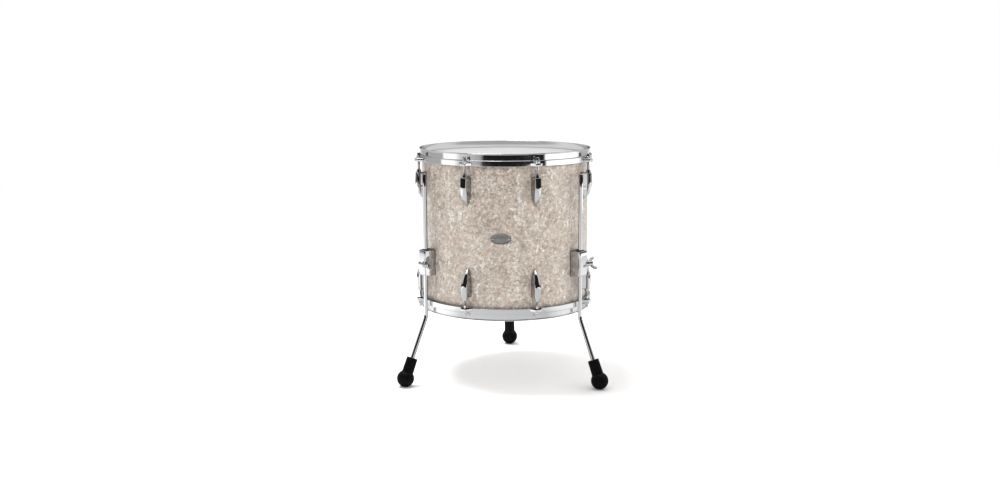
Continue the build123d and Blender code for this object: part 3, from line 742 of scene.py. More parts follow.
EAR_FLOOR = EAR_TOP + 2.2         # depth of the underside of the ear's plate
EAR_HOLE_R = 3.6
EAR_STATIONS = (                  # (inset of the outline, depth): over the top, down and up inside
    (1.5, EAR_TOP), (0.75, EAR_TOP + 0.22), (0.22, EAR_TOP + 0.75), (0.0, EAR_TOP + 1.5),
    (0.0, EAR_BOTTOM - 0.5), (0.5, EAR_BOTTOM), (1.9, EAR_BOTTOM), (2.2, EAR_BOTTOM - 0.4),
    (2.2, EAR_TOP + 2.9), (3.0, EAR_FLOOR),
)


def ear_outline(inset):
    """The ear from above: wide at the hoop, narrow at its outer edge."""
    root_y, root_half = -211.2, 16.0 - inset
    tip_y, tip_half = -(227.4 - inset), 6.6 - inset * 0.72
    corner = 4.0 - inset * 0.8
    return rounded([(-root_half, root_y), (root_half, root_y),
                    (tip_half, tip_y, corner), (-tip_half, tip_y, corner)], 8)


def add_ear(bm, matrix):
    segments, centre = 96, (0.0, -ROD_CIRCLE)

    def hole(radius, depth):
        return circle(centre, radius, segments), depth

    stations = [hole(EAR_HOLE_R, EAR_TOP + 0.35), hole(EAR_HOLE_R + 0.35, EAR_TOP)]
    stations += [(ray_outline(ear_outline(inset), centre, segments), depth)
                 for inset, depth in EAR_STATIONS]
    stations.append(hole(EAR_HOLE_R, EAR_FLOOR))
    loops = [[(x, y, at_depth(depth)) for x, y in points] for points, depth in stations]
    loft(bm, loops, closed=True, matrix=matrix)


def hoop_mesh(name, flip):
    bm = bmesh.new()
    profile = [(r, at_depth(depth)) for r, depth in dense(HOOP_PROFILE, limit=4.0)]
    lathe(bm, profile, 480, place(0, flip))
    for angle in LUG_ANGLES:
        add_ear(bm, place(angle, flip))
    return finish_mesh(bm, name, sharp=50)


for end, flip in ENDS:
    name = f"{end}_hoop_chrome"
    piece(name, hoop_mesh(name, flip), "bright_chrome", f"{end}_head", f"{end}_hoop")

# ---------------------------------------------------------------- heads
# (radius, depth) of the film: out over the top, down the collar, and back along the underside
FILM_PROFILE = [(r, 16.53) for r in (0.0, 40, 80, 120, 160, 190, 199.5)] + [(202.3, 16.56)]
FILM_PROFILE += [
    (202.55 + math.sin(math.radians(a)), 17.55 - math.cos(math.radians(a)))
    for a in (15, 35, 55, 75, 90)
]
FILM_PROFILE += [
    (203.55, 19.5), (203.55, 21.8), (203.8, 22.6), (204.3, 22.97), (207.1, 23.0), (207.2, 23.12),
    (207.1, 23.25), (204.1, 23.25), (203.5, 22.95), (203.3, 22.1), (203.3, 19.5), (203.3, 17.75),
    (203.05, 17.2), (202.4, 16.8), (199.5, 16.78), (160, 16.78), (80, 16.78), (0.0, 16.78),
]


def film_mesh(name, flip):
    bm = bmesh.new()
    profile = [(r, at_depth(depth)) for r, depth in FILM_PROFILE]
    lathe(bm, profile, 360, place(0, flip), closed=False)
    return finish_mesh(bm, name, sharp=60)


for (end, flip), look in zip(ENDS, ("coated", "hazy")):
    name = f"{end}_head_{look}"
    piece(name, film_mesh(name, flip), f"{look}_film", f"{end}_head", f"{end}_head_film",
          weighted=False)

# ---------------------------------------------------------------- tension rods
ROD_R = 2.98
KEY_HALF, KEY_CORNER = 3.1, 0.7
# (radius, depth) of the round dimple, (scale, depth) of the square head, then (radius, depth)
# of the flange and the plain neck
DIMPLE = ((1.0, 7.62), (2.0, 7.66))
KEY_HEAD = ((0.74, 7.75), (0.88, 8.2), (0.97, 8.75), (1, 9.2), (1, 11.0), (1, 13.0), (1, 14.9),
            (1.03, 15.25))
FLANGE = ((4.45, 15.3), (4.9, 15.45), (5.2, 15.9), (5.2, 16.9), (5.0, 17.25), (4.7, 17.3),
          (3.25, 17.32), (3.0, 17.6))
NECK = tuple((ROD_R, depth) for depth in (20, 24, 28, 32, 35.0))
THREAD_START, THREAD_TURNS, LOOPS_PER_TURN = 35.4, 52, 5    # the pitch is 1 mm
THREAD_DEPTH = 0.30


def thread_radius(depth, turned):
    """Radius of the rolled thread; turned is the share of a turn round the rod."""
    fade = min(1.0, (depth - THREAD_START) / 1.5)
    if depth >= 86.6:
        fade *= max(0.2, (88.0 - depth) / 1.6)
    to_crest = abs((depth + turned) % 1.0 * 2 - 1)
    groove = 1 - min(1.0, max(0.0, (to_crest - 0.1) / 0.8))
    end_taper = max(0.0, depth - 87.0) * 0.7
    return ROD_R - THREAD_DEPTH * fade * groove - end_taper


def rod_mesh():
    segments = 32
    phase = math.pi / segments
    half, corner = KEY_HALF, KEY_CORNER
    square = rounded([(-half, -half, corner), (half, -half, corner),
                      (half, half, corner), (-half, half, corner)], 3)
    key = ray_outline(square, (0, 0), segments, phase)

    def rings(table):
        return [(circle((0, 0), radius, segments, phase), depth) for radius, depth in table]

    stations = rings(DIMPLE)
    stations += [([(x * scale, y * scale) for x, y in key], depth) for scale, depth in KEY_HEAD]
    stations += rings(FLANGE + NECK)
    for i in range(THREAD_TURNS * LOOPS_PER_TURN + 1):
        depth = THREAD_START + i / LOOPS_PER_TURN
        points = []
        for j in range(segments):
            angle = phase + 2 * math.pi * j / segments
            radius = thread_radius(depth, j / segments)
            points.append((radius * math.cos(angle), radius * math.sin(angle)))
        stations.append((points, depth))
    bm = bmesh.new()
    loft(bm, [[(x, y - ROD_CIRCLE, at_depth(depth)) for x, y in points]
              for points, depth in stations], caps=True)
    return finish_mesh(bm, "tension_rod", sharp=48)


rod = rod_mesh()
for k, angle in enumerate(LUG_ANGLES, 1):
    for end, flip in ENDS:
        piece(f"{end}_rod_{k}_chrome", rod, "bright_chrome", f"{end}_rod_{k}",
              f"{end}_tension_rod_{k}", matrix=place(angle, flip), weighted=False)

# ---------------------------------------------------------------- washers under the rods
WASHER_HOLE_R = 3.2
WASHERS = (    # (name, CAD node, slot, outer radius, top depth, bottom depth, bevel)
    ("steel_washers", "rod_washers", "bright_chrome", 6.0, 17.32, 18.92, 0.3),
    ("quiet_washers", "nylon_washers", "white_nylon", 5.8, 18.94, 20.79, 0.35),
)


def washers_mesh(name, flip, radius, top, bottom, bevel):
    bm = bmesh.new()
    profile = rounded([
        (WASHER_HOLE_R, at_depth(top), bevel), (radius, at_depth(top), bevel),
        (radius, at_depth(bottom), bevel), (WASHER_HOLE_R, at_depth(bottom), bevel)], 3)
    for angle in LUG_ANGLES:
        matrix = place(angle, flip) @ Matrix.Translation((0, -ROD_CIRCLE * MM, 0))
        lathe(bm, profile, 48, matrix)
    return finish_mesh(bm, name, sharp=50)


for end, flip in ENDS:
    for kind, node, slot, *sizes in WASHERS:
        name = f"{end}_{kind}"
        piece(name, washers_mesh(name, flip, *sizes), slot, f"{end}_head", f"{end}_{node}")

# ---------------------------------------------------------------- lugs: hollow, with a curved tail
LUG_FACE_R, LUG_HALF, LUG_WALL = 227.8, 8.5, 2.4
LUG_TOP, LUG_END = 54.5, 121.4    # depths
LUG_EDGE = 1.15                   # rounding of the top edge
FACE_LEAN = 0.07                  # casting draft on the face
SIDE_DRAFT = 1.25                 # how far each side leans in
TAIL_START, TAIL_R = 79.0, 49.0   # depth where the face begins to curve in, and its radius
TAPER_START = 86.0                # depth where the sides begin to close
TIP_R = LUG_HALF * 0.26
FLANK_X, FLANK_DEPTH, FLANK_R = circle_through(
    (LUG_HALF, TAPER_START),
    (LUG_HALF * 0.80, TAPER_START + (LUG_END - TAPER_START) * 0.56),
    (TIP_R, LUG_END - TIP_R),
)


def lug_half(depth):
    if depth <= TAPER_START:
        return LUG_HALF
    if depth <= LUG_END - TIP_R:
        return FLANK_X + math.sqrt(max(0.0, FLANK_R ** 2 - (depth - FLANK_DEPTH) ** 2))
    return math.sqrt(max(0.0, TIP_R ** 2 - (depth - (LUG_END - TIP_R)) ** 2))


def lug_face(depth, wall=0.0):
    if depth <= TAIL_START:
        return LUG_FACE_R - wall - FACE_LEAN * (TAIL_START - depth)
    sag = math.sqrt(max(0.0, (TAIL_R - wall) ** 2 - (depth - TAIL_START) ** 2))
    return LUG_FACE_R - TAIL_R + sag


def lug_section(depth, half, face, corner):
    """Open U from the left back edge, over the face, to the right back edge."""
    back = math.sqrt(SEAT_R ** 2 - half ** 2)
    height = max(0.05, face - back)
    top = max(0.04, half - SIDE_DRAFT * min(1.0, height / 20.0))
    radius = min(corner, 0.62 * top, 0.75 * height)
    # the face is crowned, and more so down the tail
    crown = 0.75 + 1.5 * min(1.0, max(0.0, (depth - TAIL_START) / 14.0))
    crown *= (top / (LUG_HALF - SIDE_DRAFT)) ** 1.5
    shoulder = back + height - crown
    points = rounded([(-half, back), (-top, shoulder, radius), (top, shoulder, radius),
                      (half, back)], 7)
    left, right = points[1:9], points[9:17]
    outline = [between((-half, back), left[0], k, 5) for k in range(5)] + left
    (x0, y0), x1 = left[-1], right[0][0]
    for k in range(1, 8):
        t = 2 * k / 8 - 1
        outline.append((x0 + (x1 - x0) * k / 8, y0 + crown * (1 - t * t)))
    outline += right + [between(right[-1], (half, back), k, 5) for k in range(1, 6)]
    return [(x, -y, at_depth(depth)) for x, y in outline]


def lug_stations():
    """(depth, inset of the sides, drop of the face) from the rounded top edge to the tip."""
    stations = []
    for k in range(7):
        rise = 1 - math.sin(math.radians(15 * k))
        round_in = 1 - math.cos(math.radians(15 * k))
        stations.append((LUG_TOP + LUG_EDGE * round_in, LUG_EDGE * rise, 2.4 * rise))
    depths = [LUG_TOP + LUG_EDGE + (TAIL_START - LUG_TOP - LUG_EDGE) * k / 10
              for k in range(1, 11)]
    depths += [TAIL_START + (TAPER_START - TAIL_START) * k / 4 for k in range(1, 5)]
    depths += [TAPER_START + (LUG_END - TIP_R - TAPER_START) * k / 22 for k in range(1, 23)]
    depths += [LUG_END - TIP_R + TIP_R * math.sin(math.radians(15 * k)) * 0.997
               for k in range(1, 7)]
    return stations + [(depth, 0.0, 0.0) for depth in depths]


def add_lug(bm, matrix):
    stations = lug_stations()
    outer = [lug_section(depth, max(0.12, lug_half(depth) - inset), lug_face(depth) - drop, 2.4)
             for depth, inset, drop in stations]
    hollow_top, hollow_end = LUG_TOP + 3.1, 116.0
    lowest_face = math.sqrt(SEAT_R ** 2 - 6.0 ** 2) + 0.3
    inner = []
    for i in range(len(stations)):
        depth = hollow_top + (hollow_end - hollow_top) * i / (len(stations) - 1)
        inner.append(lug_section(depth, max(0.3, lug_half(depth) - LUG_WALL),
                                 max(lowest_face, lug_face(depth, LUG_WALL)), 1.2))
    outer, inner = ([[bm.verts.new(matrix @ (Vector(p) * MM)) for p in row] for row in rows]
                    for rows in (outer, inner))
    last = len(outer[0]) - 1
    for o, o_next, i, i_next in zip(outer, outer[1:], inner, inner[1:]):
        for j in range(last):
            bm.faces.new((o[j], o[j + 1], o_next[j + 1], o_next[j]))
            bm.faces.new((i[j], i_next[j], i_next[j + 1], i[j + 1]))
        for j in (0, last):
            bm.faces.new((o[j], o_next[j], i_next[j], i[j]))
    for o, i in ((outer[0], inner[0]), (outer[-1], inner[-1])):
        bm.faces.new(o)
        bm.faces.new(i)
        bm.faces.new((o[0], o[-1], i[-1], i[0]))

    # nose for the tension rod
    root, tip = at_depth(LUG_TOP + 0.9), at_depth(47.5)
    nose = rounded([(3.6, root), (6.55, root), (6.35, at_depth(LUG_TOP - 0.5), 0.6),
                    (4.85, tip, 0.7), (3.6, tip, 0.4)], 5)
    lathe(bm, nose, 64, matrix @ Matrix.Translation((0, -ROD_CIRCLE * MM, 0)))
    # the two screw posts inside
    for depth in (79.0, 104.0):
        end = min(213.0, lug_face(depth) - 1.2)
        post = rounded([(2.05, SEAT_R + 0.3), (3.8, SEAT_R + 0.3, 0.3), (4.1, end), (2.05, end)], 3)
        lathe(bm, post, 32, matrix @ outward(at_depth(depth)))


def lugs_mesh(name, flip):
    bm = bmesh.new()
    for angle in LUG_ANGLES:
        add_lug(bm, place(angle, flip))
    return finish_mesh(bm, name, sharp=46)


for end, flip in ENDS:
    name = f"{end}_lugs_chrome"
    piece(name, lugs_mesh(name, flip), "bright_chrome", "drum_body", f"{end}_lugs")

# ---------------------------------------------------------------- leg brackets and bushes
BRACKET_BOTTOM, BRACKET_TOP = 268.0, 329.0
BRACKET_MID = (BRACKET_BOTTOM + BRACKET_TOP) / 2
BRACKET_HALF, BRACKET_FACE_R = 16.4, 231.0
BRACKET_EDGE = 1.3
CLAMP_ORIGIN = (0, -LEG_CIRCLE, 297.0)
CLAMP_ANGLE = math.radians(58.0)    # from the bracket's own front
clamp_dir = Vector((math.sin(CLAMP_ANGLE), -math.cos(CLAMP_ANGLE), 0))


def bracket_outline(inset, face):
    half = BRACKET_HALF - inset
    corner = max(0.6, 3.4 - inset)
    back = [(x, -math.sqrt(SEAT_R ** 2 - x * x))
            for x in [-half + 2 * half * k / 10 for k in range(11)]]
    front = rounded([(half, -SEAT_R), (half, -face, corner), (-half, -face, corner),
                     (-half, -SEAT_R)], 8)
    return back + front[1:-1]


def bracket_face(z):
    """The face is bowed from top to bottom."""
    reach = (BRACKET_TOP - BRACKET_BOTTOM) / 2
    return BRACKET_FACE_R - 1.8 * ((z - BRACKET_MID) / reach) ** 2


def bracket_mesh(name, matrix):
    segments, centre, edge = 160, (0.0, -LEG_CIRCLE), BRACKET_EDGE
    stations = []

    def add_outline(inset, face, z):
        outline = bracket_outline(inset, face)
        stations.append((ray_outline(outline, centre, segments), z))

    def add_edge(end_z, into, steps):
        """Part of the rounding of an end edge; into is the way into the block, +1 or -1."""
        for k in steps:
            a = math.radians(18 * k)
            inset = edge * (1 - math.sin(a))
            z = end_z + into * edge * (1 - math.cos(a))
            add_outline(inset, bracket_face(end_z) - inset, z)

    def add_hole(radius, z):
        stations.append((circle(centre, radius, segments), z))

    add_hole(7.55, BRACKET_TOP - 0.4)
    add_hole(7.95, BRACKET_TOP)
    add_edge(BRACKET_TOP, -1, range(6))
    for k in range(1, 20):
        z = BRACKET_TOP - edge - (BRACKET_TOP - BRACKET_BOTTOM - 2 * edge) * k / 20
        add_outline(0.0, bracket_face(z), z)
    add_edge(BRACKET_BOTTOM, 1, range(5, -1, -1))
    add_hole(7.95, BRACKET_BOTTOM)
    add_hole(7.55, BRACKET_BOTTOM + 0.4)
    bm = bmesh.new()
    loft(bm, [[(x, y, z) for x, y in points] for points, z in stations],
         closed=True, matrix=matrix)
    boss = rounded([(4.16, 13.5), (7.6, 13.5), (7.4, 23.0, 0.9), (4.16, 23.0, 0.5)], 5)
    lathe(bm, boss, 72, matrix @ along(CLAMP_ORIGIN, clamp_dir))
    return finish_mesh(bm, name, sharp=44)


def bush_mesh(name, matrix):
    """Sleeve round the leg, with a collar over the bracket's top."""
    bore, sleeve, collar = 5.3, 7.4, 9.2
    bottom, seat, top = BRACKET_BOTTOM - 0.6, BRACKET_TOP + 0.12, BRACKET_TOP + 1.7
    profile = rounded([(bore, bottom, 0.3), (sleeve, bottom, 0.4), (sleeve, seat),
                       (collar, seat, 0.2), (collar, top, 0.6), (bore, top, 0.4)], 4)
    stand = matrix @ Matrix.Translation((0, -LEG_CIRCLE * MM, 0))
    return turned_ring(name, dense(profile, limit=8.0), 72, stand)


# ---------------------------------------------------------------- wing screws
WING_TURN = {"left": -28.0, "right": 50.0, "rear": -15.0}    # resting angle about the screw
# right half of the wings, as arcs through three (across, along the screw) points, and steps
WING_ARCS = (
    ((5.0, 25.0), (12.0, 27.2), (16.2, 32.5), 8),
    ((16.2, 32.5), (17.6, 37.4), (14.6, 40.6), 8),
    ((14.6, 40.6), (11.4, 40.4), (9.6, 37.6), 6),
    ((9.6, 37.6), (6.6, 33.6), (0.0, 32.0), 8),
)
# (inset, place through the thickness)
WING_LAYERS = ((1.55, -2.1), (0.8, -1.95), (0.28, -1.5), (0.0, -0.75),
               (0.0, 0.75), (0.28, 1.5), (0.8, 1.95), (1.55, 2.1))
# (distance from the screw's axis, distance along it, corner radius)
HUB_CROWN = (0.0, 33.2)
HUB = [(0.0, 10.95), (2.4, 10.95, 0.4), (2.4, 13.54), (4.0, 13.54, 0.4), (4.0, 23.4),
       (6.3, 23.4, 0.6), (6.3, 29.5), (5.9, 32.6, 1.5), HUB_CROWN]


def wing_outline():
    right = []
    for arc in WING_ARCS:
        right += sample_arc(*arc)[1 if right else 0:]
    return right + [(-x, y) for x, y in reversed(right[:-1])]


def offset_outline(points, inset):
    """Moves each point inwards along the outline's own normal."""
    moved = []
    for i, (x, y) in enumerate(points):
        before, after = points[i - 1], points[(i + 1) % len(points)]
        run, rise = after[0] - before[0], after[1] - before[1]
        length = math.hypot(run, rise)
        moved.append((x - rise / length * inset, y + run / length * inset))
    return moved


def wing_mesh(name, matrix):
    bm = bmesh.new()
    outline = wing_outline()
    loops = [[(x, y, z) for x, z in offset_outline(outline, inset)] for inset, y in WING_LAYERS]
    loft(bm, loops, caps=True, matrix=matrix)
    # the split profile runs part of the way down the axis, then returns to the crown
    profile = dense(rounded(HUB, 5), limit=5.0)[:-1] + [HUB_CROWN]
    lathe(bm, profile, 72, matrix, closed=False)
    return finish_mesh(bm, name, sharp=44)


# ---------------------------------------------------------------- legs and feet
LEG_TILT = math.radians(21.5)    # of the lower part, outwards
LEG_R, BEND_R = 5.25, 42.0
LEG_TOP = ((511.0, 4.0), (510.85, 4.55), (510.4, 5.05), (509.8, LEG_R))    # (z, radius)
FOOT_CENTRE = (277.4, 20.3)      # (distance from the drum's axis, z) of the ball
BALL_R, NECK_R = 20.8, 13.6
NECK_BASE, NECK_TOP = 15.4, 51.5    # above the ball's centre, along the leg


def leg_mesh(name, matrix):
    segments = 40
    foot_r, foot_z = FOOT_CENTRE
    # (distance from the drum's axis, z, tilt, radius)
    path = [(LEG_CIRCLE, z, 0.0, radius) for z, radius in LEG_TOP]
    path += [(LEG_CIRCLE, float(z), 0.0, LEG_R)
             for z in (480, 440, 400, 360, 320, 280, 240, 210, 190)]
    corner_z = foot_z + (foot_r - LEG_CIRCLE) / math.tan(LEG_TILT)
    centre_r = LEG_CIRCLE + BEND_R
    centre_z = corner_z + BEND_R * math.tan(LEG_TILT / 2)
    for k in range(15):
        a = LEG_TILT * k / 14
        path.append((centre_r - BEND_R * math.cos(a), centre_z - BEND_R * math.sin(a), a, LEG_R))
    start = path[-1][:2]
    end = (foot_r + -8.0 * math.sin(LEG_TILT), foot_z + 8.0 * math.cos(LEG_TILT))
    path += [(*between(start, end, k, 8), LEG_TILT, LEG_R) for k in range(1, 9)]
    loops = []
    for r, z, tilt, radius in path:
        loop = []
        for j in range(segments):
            a = 2 * math.pi * j / segments
            out = radius * math.cos(a)
            loop.append((radius * math.sin(a), -(r + math.cos(tilt) * out),
                         z + math.sin(tilt) * out))
        loops.append(loop)
    bm = bmesh.new()
    loft(bm, loops, caps=True, matrix=matrix)
    return finish_mesh(bm, name, sharp=40)


def foot_mesh(name, matrix):
    """Ball, flat where it stands, with a tapered neck that has a groove under its rolled lip."""
    steps, neck, base, top = 30, NECK_R, NECK_BASE, NECK_TOP
    sweep = math.asin(base / BALL_R) + math.pi / 2
    angles = [-math.pi / 2 + sweep * k / steps for k in range(steps + 1)]
    profile = [(BALL_R * math.cos(a), BALL_R * math.sin(a)) for a in angles]
    # a soft step from the ball to the neck
    profile += [(math.sqrt(BALL_R * BALL_R - base * base) - 0.12, base + 0.55),
                (neck + 0.44, base + 1.3), (neck + 0.38, base + 2.0)]
    z = base + 4.0
    while z < top - 7.0:
        profile.append((neck + 0.3 - 0.6 * (z - base) / (top - base), z))
        z += 4.0
    profile += [(neck - 0.12, top - 5.4), (neck - 0.45, top - 5.0),
                (neck - 0.45, top - 4.4), (neck - 0.12, top - 4.0)]
    # the lip, and the socket for the leg
    profile += rounded([(neck - 0.2, top - 2.6), (neck - 0.2, top, 1.9), (5.9, top, 0.9),
                        (5.27, top - 1.4, 0.5), (5.27, 7.7), (0.0, 7.7)], 6)
    centre = Vector((0, -FOOT_CENTRE[0], FOOT_CENTRE[1])) * MM
    bm = bmesh.new()
    lathe(bm, profile, 112, Matrix.Translation(centre) @ Matrix.Rotation(-LEG_TILT, 4, "X"),
          closed=False)
    for vert in bm.verts:
        if vert.co.z < 0:
            vert.co.z = 0.0
    bmesh.ops.transform(bm, matrix=matrix, verts=bm.verts)
    return finish_mesh(bm, name, sharp=46)


# the wings lie across the clamp screw's own axis
wing_side = Vector((-math.cos(CLAMP_ANGLE), -math.sin(CLAMP_ANGLE), 0))
wing_axes = axes_at(CLAMP_ORIGIN, wing_side, clamp_dir)
for leg, angle in LEG_ANGLES.items():
    station = place(angle)
    turn = Matrix.Rotation(math.radians(WING_TURN[leg]), 4, "Z")
    bracket, bush, wing = f"bracket_{leg}", f"bush_{leg}", f"wing_screw_{leg}"
    piece(f"{bracket}_chrome", bracket_mesh(bracket, station), "bright_chrome", "drum_body",
          f"leg_{bracket}")
    piece(f"{bush}_nylon", bush_mesh(bush, station), "black_nylon", f"leg_{bush}", f"leg_{bush}")
    piece(f"{wing}_chrome", wing_mesh(wing, station @ wing_axes @ turn), "bright_chrome",
          wing, wing)
    piece(f"leg_{leg}_chrome", leg_mesh(f"leg_{leg}", station), "bright_chrome", f"leg_{leg}",
          f"leg_rod_{leg}", weighted=False)
    piece(f"foot_{leg}_rubber", foot_mesh(f"foot_{leg}", station), "black_rubber", f"leg_{leg}",
          f"rubber_foot_{leg}", weighted=False)

# ---------------------------------------------------------------- badge and air vent
BADGE_HALF_X, BADGE_HALF_Z = 24.0, 12.5
BADGE_BEND_R = 203.0
BADGE_FLOOR = 0.93    # height at the rivets
# (inset from the oval's edge, height above the wrap): up the side, over the rim, to the middle
BADGE_LOOPS = (
    (0.1, 0.02), (0.0, 0.15), (0.0, 0.85), (0.15, 1.1), (0.5, 1.27), (0.9, 1.3), (1.5, 1.28),
    (1.95, 1.12), (2.15, 0.96), (2.5, 0.9), (4.0, 0.9), (7.0, 0.93), (10.0, 0.97), (12.3, 0.98),
)


def badge_mesh():
    segments = 128
    loops = []
    for inset, height in BADGE_LOOPS:
        loop = []
        for x, z in circle((0.0, 0.0), 1.0, segments):
            across = math.asin((BADGE_HALF_X - inset) * x / BADGE_BEND_R)
            loop.append(round_axis(WRAP_R + height, across, BADGE_Z + (BADGE_HALF_Z - inset) * z))
        loops.append(loop)
    bm = bmesh.new()
    loft(bm, loops, caps=True, matrix=place())
    return finish_mesh(bm, "badge_oval", sharp=60)


def rivets_mesh():
    spread = math.degrees(math.asin(19.0 / BADGE_BEND_R))
    floor_r = WRAP_R + BADGE_FLOOR
    profile = rounded([
        (0.0, 194.2), (2.2, 194.2, 0.3), (2.2, 195.9, 0.3), (1.3, 195.9), (1.3, floor_r),
        (2.1, floor_r, 0.1), (2.1, WRAP_R + 1.25, 0.35), (1.2, WRAP_R + 1.6, 0.8),
        (0.0, WRAP_R + 1.62)], 4)
    bm = bmesh.new()
    for side in (-1, 1):
        lathe(bm, profile, 40, place(side * spread) @ outward(BADGE_Z), closed=False)
    return finish_mesh(bm, "badge_rivets", sharp=50)


def vent_mesh():
    """Grommet through the shell, flanged inside and out."""
    bore, under, rim = 4.5, WRAP_R + 0.05, WRAP_R + 1.3
    profile = rounded([
        (bore, 194.4, 0.6), (8.0, 194.4, 0.5), (8.0, 195.8, 0.3), (5.9, 195.8), (5.9, under),
        (9.0, under, 0.2), (9.0, rim, 0.9), (bore, rim, 0.8)], 5)
    return turned_ring("vent_grommet", dense(profile, limit=4.0), 80,
                       place(VENT_ANGLE) @ outward(MID_Z))


piece("badge_oval", badge_mesh(), "satin_badge", "drum_body", "badge_plate")
piece("badge_rivets", rivets_mesh(), "bright_chrome", "drum_body", "badge_pins")
piece("vent_grommet", vent_mesh(), "bright_chrome", "drum_body", "air_vent_grommet")


# ---------------------------------------------------------------- studio floor
def pale_floor():
    mat = Surface("pale_floor")
    pos = mat.mapping()
    seen = mat.ramp(mat.noise(pos, scale=3.0),
                    [(0.3, (0.836, 0.826, 0.820)), (0.7, (0.846, 0.836, 0.830))])
    glossy_ray = mat.light_path()["Is Glossy Ray"]
    # painted shade in reflections: the floor the chrome mirrors is painted greyer close in, whiter
    # out to either side
    mirrored = mat.ramp(mat.math("ABSOLUTE", mat.split(pos)[0]),
                        [(0.8, (0.315, 0.317, 0.319)), (1.4, (0.53, 0.53, 0.53))])
    mat.set("Base Color", mat.mix(glossy_ray, seen, mirrored))
    mat.set("Roughness", mat.remap(mat.noise(pos, scale=40.0), to=(0.75, 0.85), over=MID_BAND))
    mat.set("Specular IOR Level", 0.0)
    return mat.material


def make_floor():
    cells = 24
    left, near, width, length = -3.2, -4.7, 6.4, 16.7
    bm = bmesh.new()
    grid = [[bm.verts.new((left + width * i / cells, near + length * j / cells, 0.0))
             for j in range(cells + 1)] for i in range(cells + 1)]
    for a, b in zip(grid, grid[1:]):
        for j in range(cells):
            bm.faces.new((a[j], b[j], b[j + 1], a[j + 1]))
    mesh = bpy.data.meshes.new("studio_floor")
    bm.to_mesh(mesh)
    bm.free()
    ob = bpy.data.objects.new("studio_floor", mesh)
    bpy.context.scene.collection.objects.link(ob)
    mesh.materials.append(pale_floor())
    return ob


ground = make_floor()
# the floor lies under the lowest foot, so a leg let down stays in sight
ground.location.z = 0.02
for leg in LEG_ANGLES:
    under = ground.constraints.new("FLOOR")
    under.target = frame["bodies"][f"leg_{leg}"]
    under.floor_location = "FLOOR_NEGATIVE_Z"


# ---------------------------------------------------------------- world
# Tables of (azimuth in degrees from the front towards +X, brightness).
# The room mirrored in the chrome: dark behind the camera, white panels either side, grey behind
ROOM = ((-180, 0.42), (-90, 0.42), (-86.5, 1.15), (-67, 1.15), (-59, 0.64), (-48, 0.56),
        (-30, 0.38), (-25.5, 0.012), (56, 0.012), (59, 1.35), (112, 1.30), (126, 0.46))
# the same room above the horizon
UPPER_ROOM = ((-180, 0.62), (-125, 0.62), (-80, 0.60), (-66, 0.012), (68, 0.012), (82, 0.60),
              (125, 0.62))
# the soft light on matt surfaces, stronger from either side than from the front
SOFT_SIDES = ((-180, 1.00), (-110, 0.95), (-62, 0.90), (-15, 0.55), (18, 0.62), (56, 1.90),
              (110, 1.50), (175, 1.00))


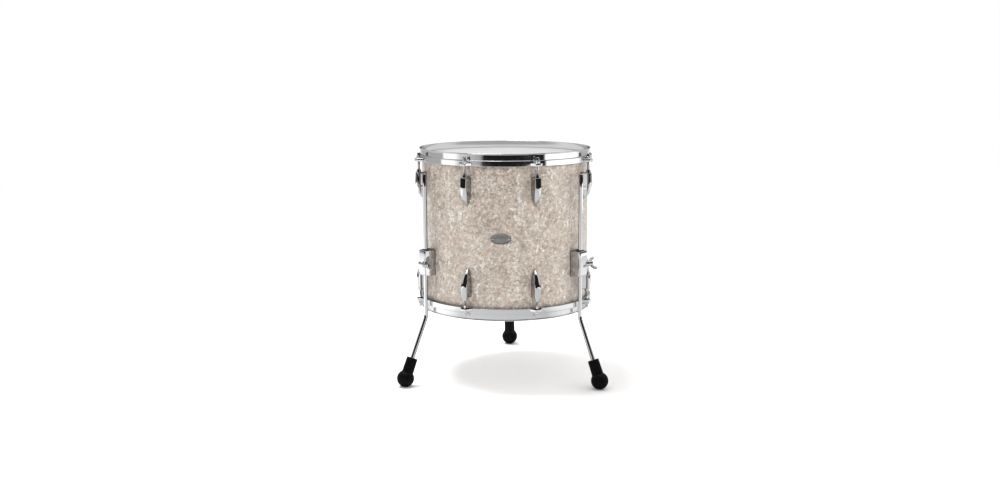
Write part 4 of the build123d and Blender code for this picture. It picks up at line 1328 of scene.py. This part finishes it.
def make_world():
    world = bpy.data.worlds.new("studio")
    bpy.context.scene.world = world
    sky = ShaderTree(world)
    sky.tree.nodes.clear()
    output = sky.add("ShaderNodeOutputWorld")
    seen, light = sky.add("ShaderNodeBackground"), sky.add("ShaderNodeBackground")
    mixer, path = sky.add("ShaderNodeMixShader"), sky.light_path()
    x, y, z = sky.split(sky.add("ShaderNodeTexCoord").outputs["Generated"])
    azimuth = sky.math("ARCTAN2", x, sky.math("MULTIPLY", y, -1.0))
    azimuth = sky.remap(azimuth, to=(0.0, 1.0), over=(-math.pi, math.pi))

    def around(table):
        return sky.ramp(azimuth, [((a + 180.0) / 360.0, level) for a, level in table])

    room = around(ROOM)
    elevation = sky.math("ARCSINE", z)

    def rise(low, high):
        """0 to 1 between two elevations in degrees."""
        return sky.remap(elevation, to=(0.0, 1.0), over=(math.radians(low), math.radians(high)))

    # a dark band at the horizon, the upper room, and a soft box (2.0) overhead
    above = rise(-3.4, -1.4)
    upper = around(UPPER_ROOM)
    top = rise(60, 72)
    upper = sky.mix(rise(4.0, 7.5), (0.012,) * 3, upper)
    mirrored = sky.mix(above, room, upper)
    mirrored = sky.mix(top, mirrored, (2.0,) * 3)
    # a second mirroring and later ones are dimmer
    later = sky.math("GREATER_THAN", path["Glossy Depth"], 1.5)
    mirrored = sky.mix(later, mirrored, sky.multiply(mirrored, (0.45,) * 3))
    soft = sky.mix(rise(20, 55), around(SOFT_SIDES), (1.32,) * 3)
    colour = sky.mix(path["Is Glossy Ray"], soft, mirrored)

    light.inputs["Strength"].default_value = 1.0
    sky.put(light.inputs["Color"], colour)
    seen.inputs["Color"].default_value = (1, 1, 1, 1)
    seen.inputs["Strength"].default_value = 1.0
    sky.put(mixer.inputs[0], path["Is Camera Ray"])
    sky.put(mixer.inputs[1], light.outputs[0])
    sky.put(mixer.inputs[2], seen.outputs[0])
    sky.put(output.inputs["Surface"], mixer.outputs[0])


make_world()


# ---------------------------------------------------------------- lamps
def area(name, where, size, power, target):
    data = bpy.data.lights.new(name, "AREA")
    data.shape = "RECTANGLE"
    data.size, data.size_y = size
    data.energy = power
    ob = bpy.data.objects.new(name, data)
    bpy.context.scene.collection.objects.link(ob)
    ob.location = where
    aim = Vector(target) - Vector(where)
    ob.rotation_euler = aim.to_track_quat("-Z", "Y").to_euler()
    return ob


def link_to_floor(lamp, name, state):
    """Lights the floor alone (INCLUDE) or all but the floor (EXCLUDE); every shadow stays."""
    group = bpy.data.collections.new(name)
    group.objects.link(ground)
    group.collection_objects[0].light_linking.link_state = state
    lamp.light_linking.receiver_collection = group


overhead = area("overhead", where=(-0.50, 0.0, 2.6), size=(0.90, 0.90), power=14.0,
                target=(0.0, -0.04, 0.2))
link_to_floor(overhead, "not_the_floor", "EXCLUDE")
# the wide box over the left side that throws the short shadow beneath the drum
softbox = area("softbox", where=(-0.80, 0.10, 2.6), size=(1.40, 0.90), power=84.0,
               target=(-0.80, 0.10, 0.0))
link_to_floor(softbox, "only_the_floor", "INCLUDE")

# ---------------------------------------------------------------- camera
CAMERA_PLACE = (0.1292, AXIS_Y - 2.778, 0.7838)
CAMERA_PAN, CAMERA_PITCH, CAMERA_ROLL = 2.917, 80.314, -0.11    # degrees; pitch 90 is level

camera_data = bpy.data.cameras.new("camera")
camera = bpy.data.objects.new("camera", camera_data)
bpy.context.scene.collection.objects.link(camera)
camera_data.sensor_width = 36.0
camera_data.lens = 40.9
camera_data.clip_start = 0.05
camera_data.clip_end = 60.0
camera.matrix_world = (
    Matrix.Translation(CAMERA_PLACE)
    @ Matrix.Rotation(math.radians(CAMERA_PAN), 4, "Z")
    @ Matrix.Rotation(math.radians(CAMERA_PITCH), 4, "X")
    @ Matrix.Rotation(math.radians(CAMERA_ROLL), 4, "Z")
)
bpy.context.scene.camera = camera
bpy.context.scene.view_settings.view_transform = "Standard"
bpy.context.scene.view_settings.look = "None"
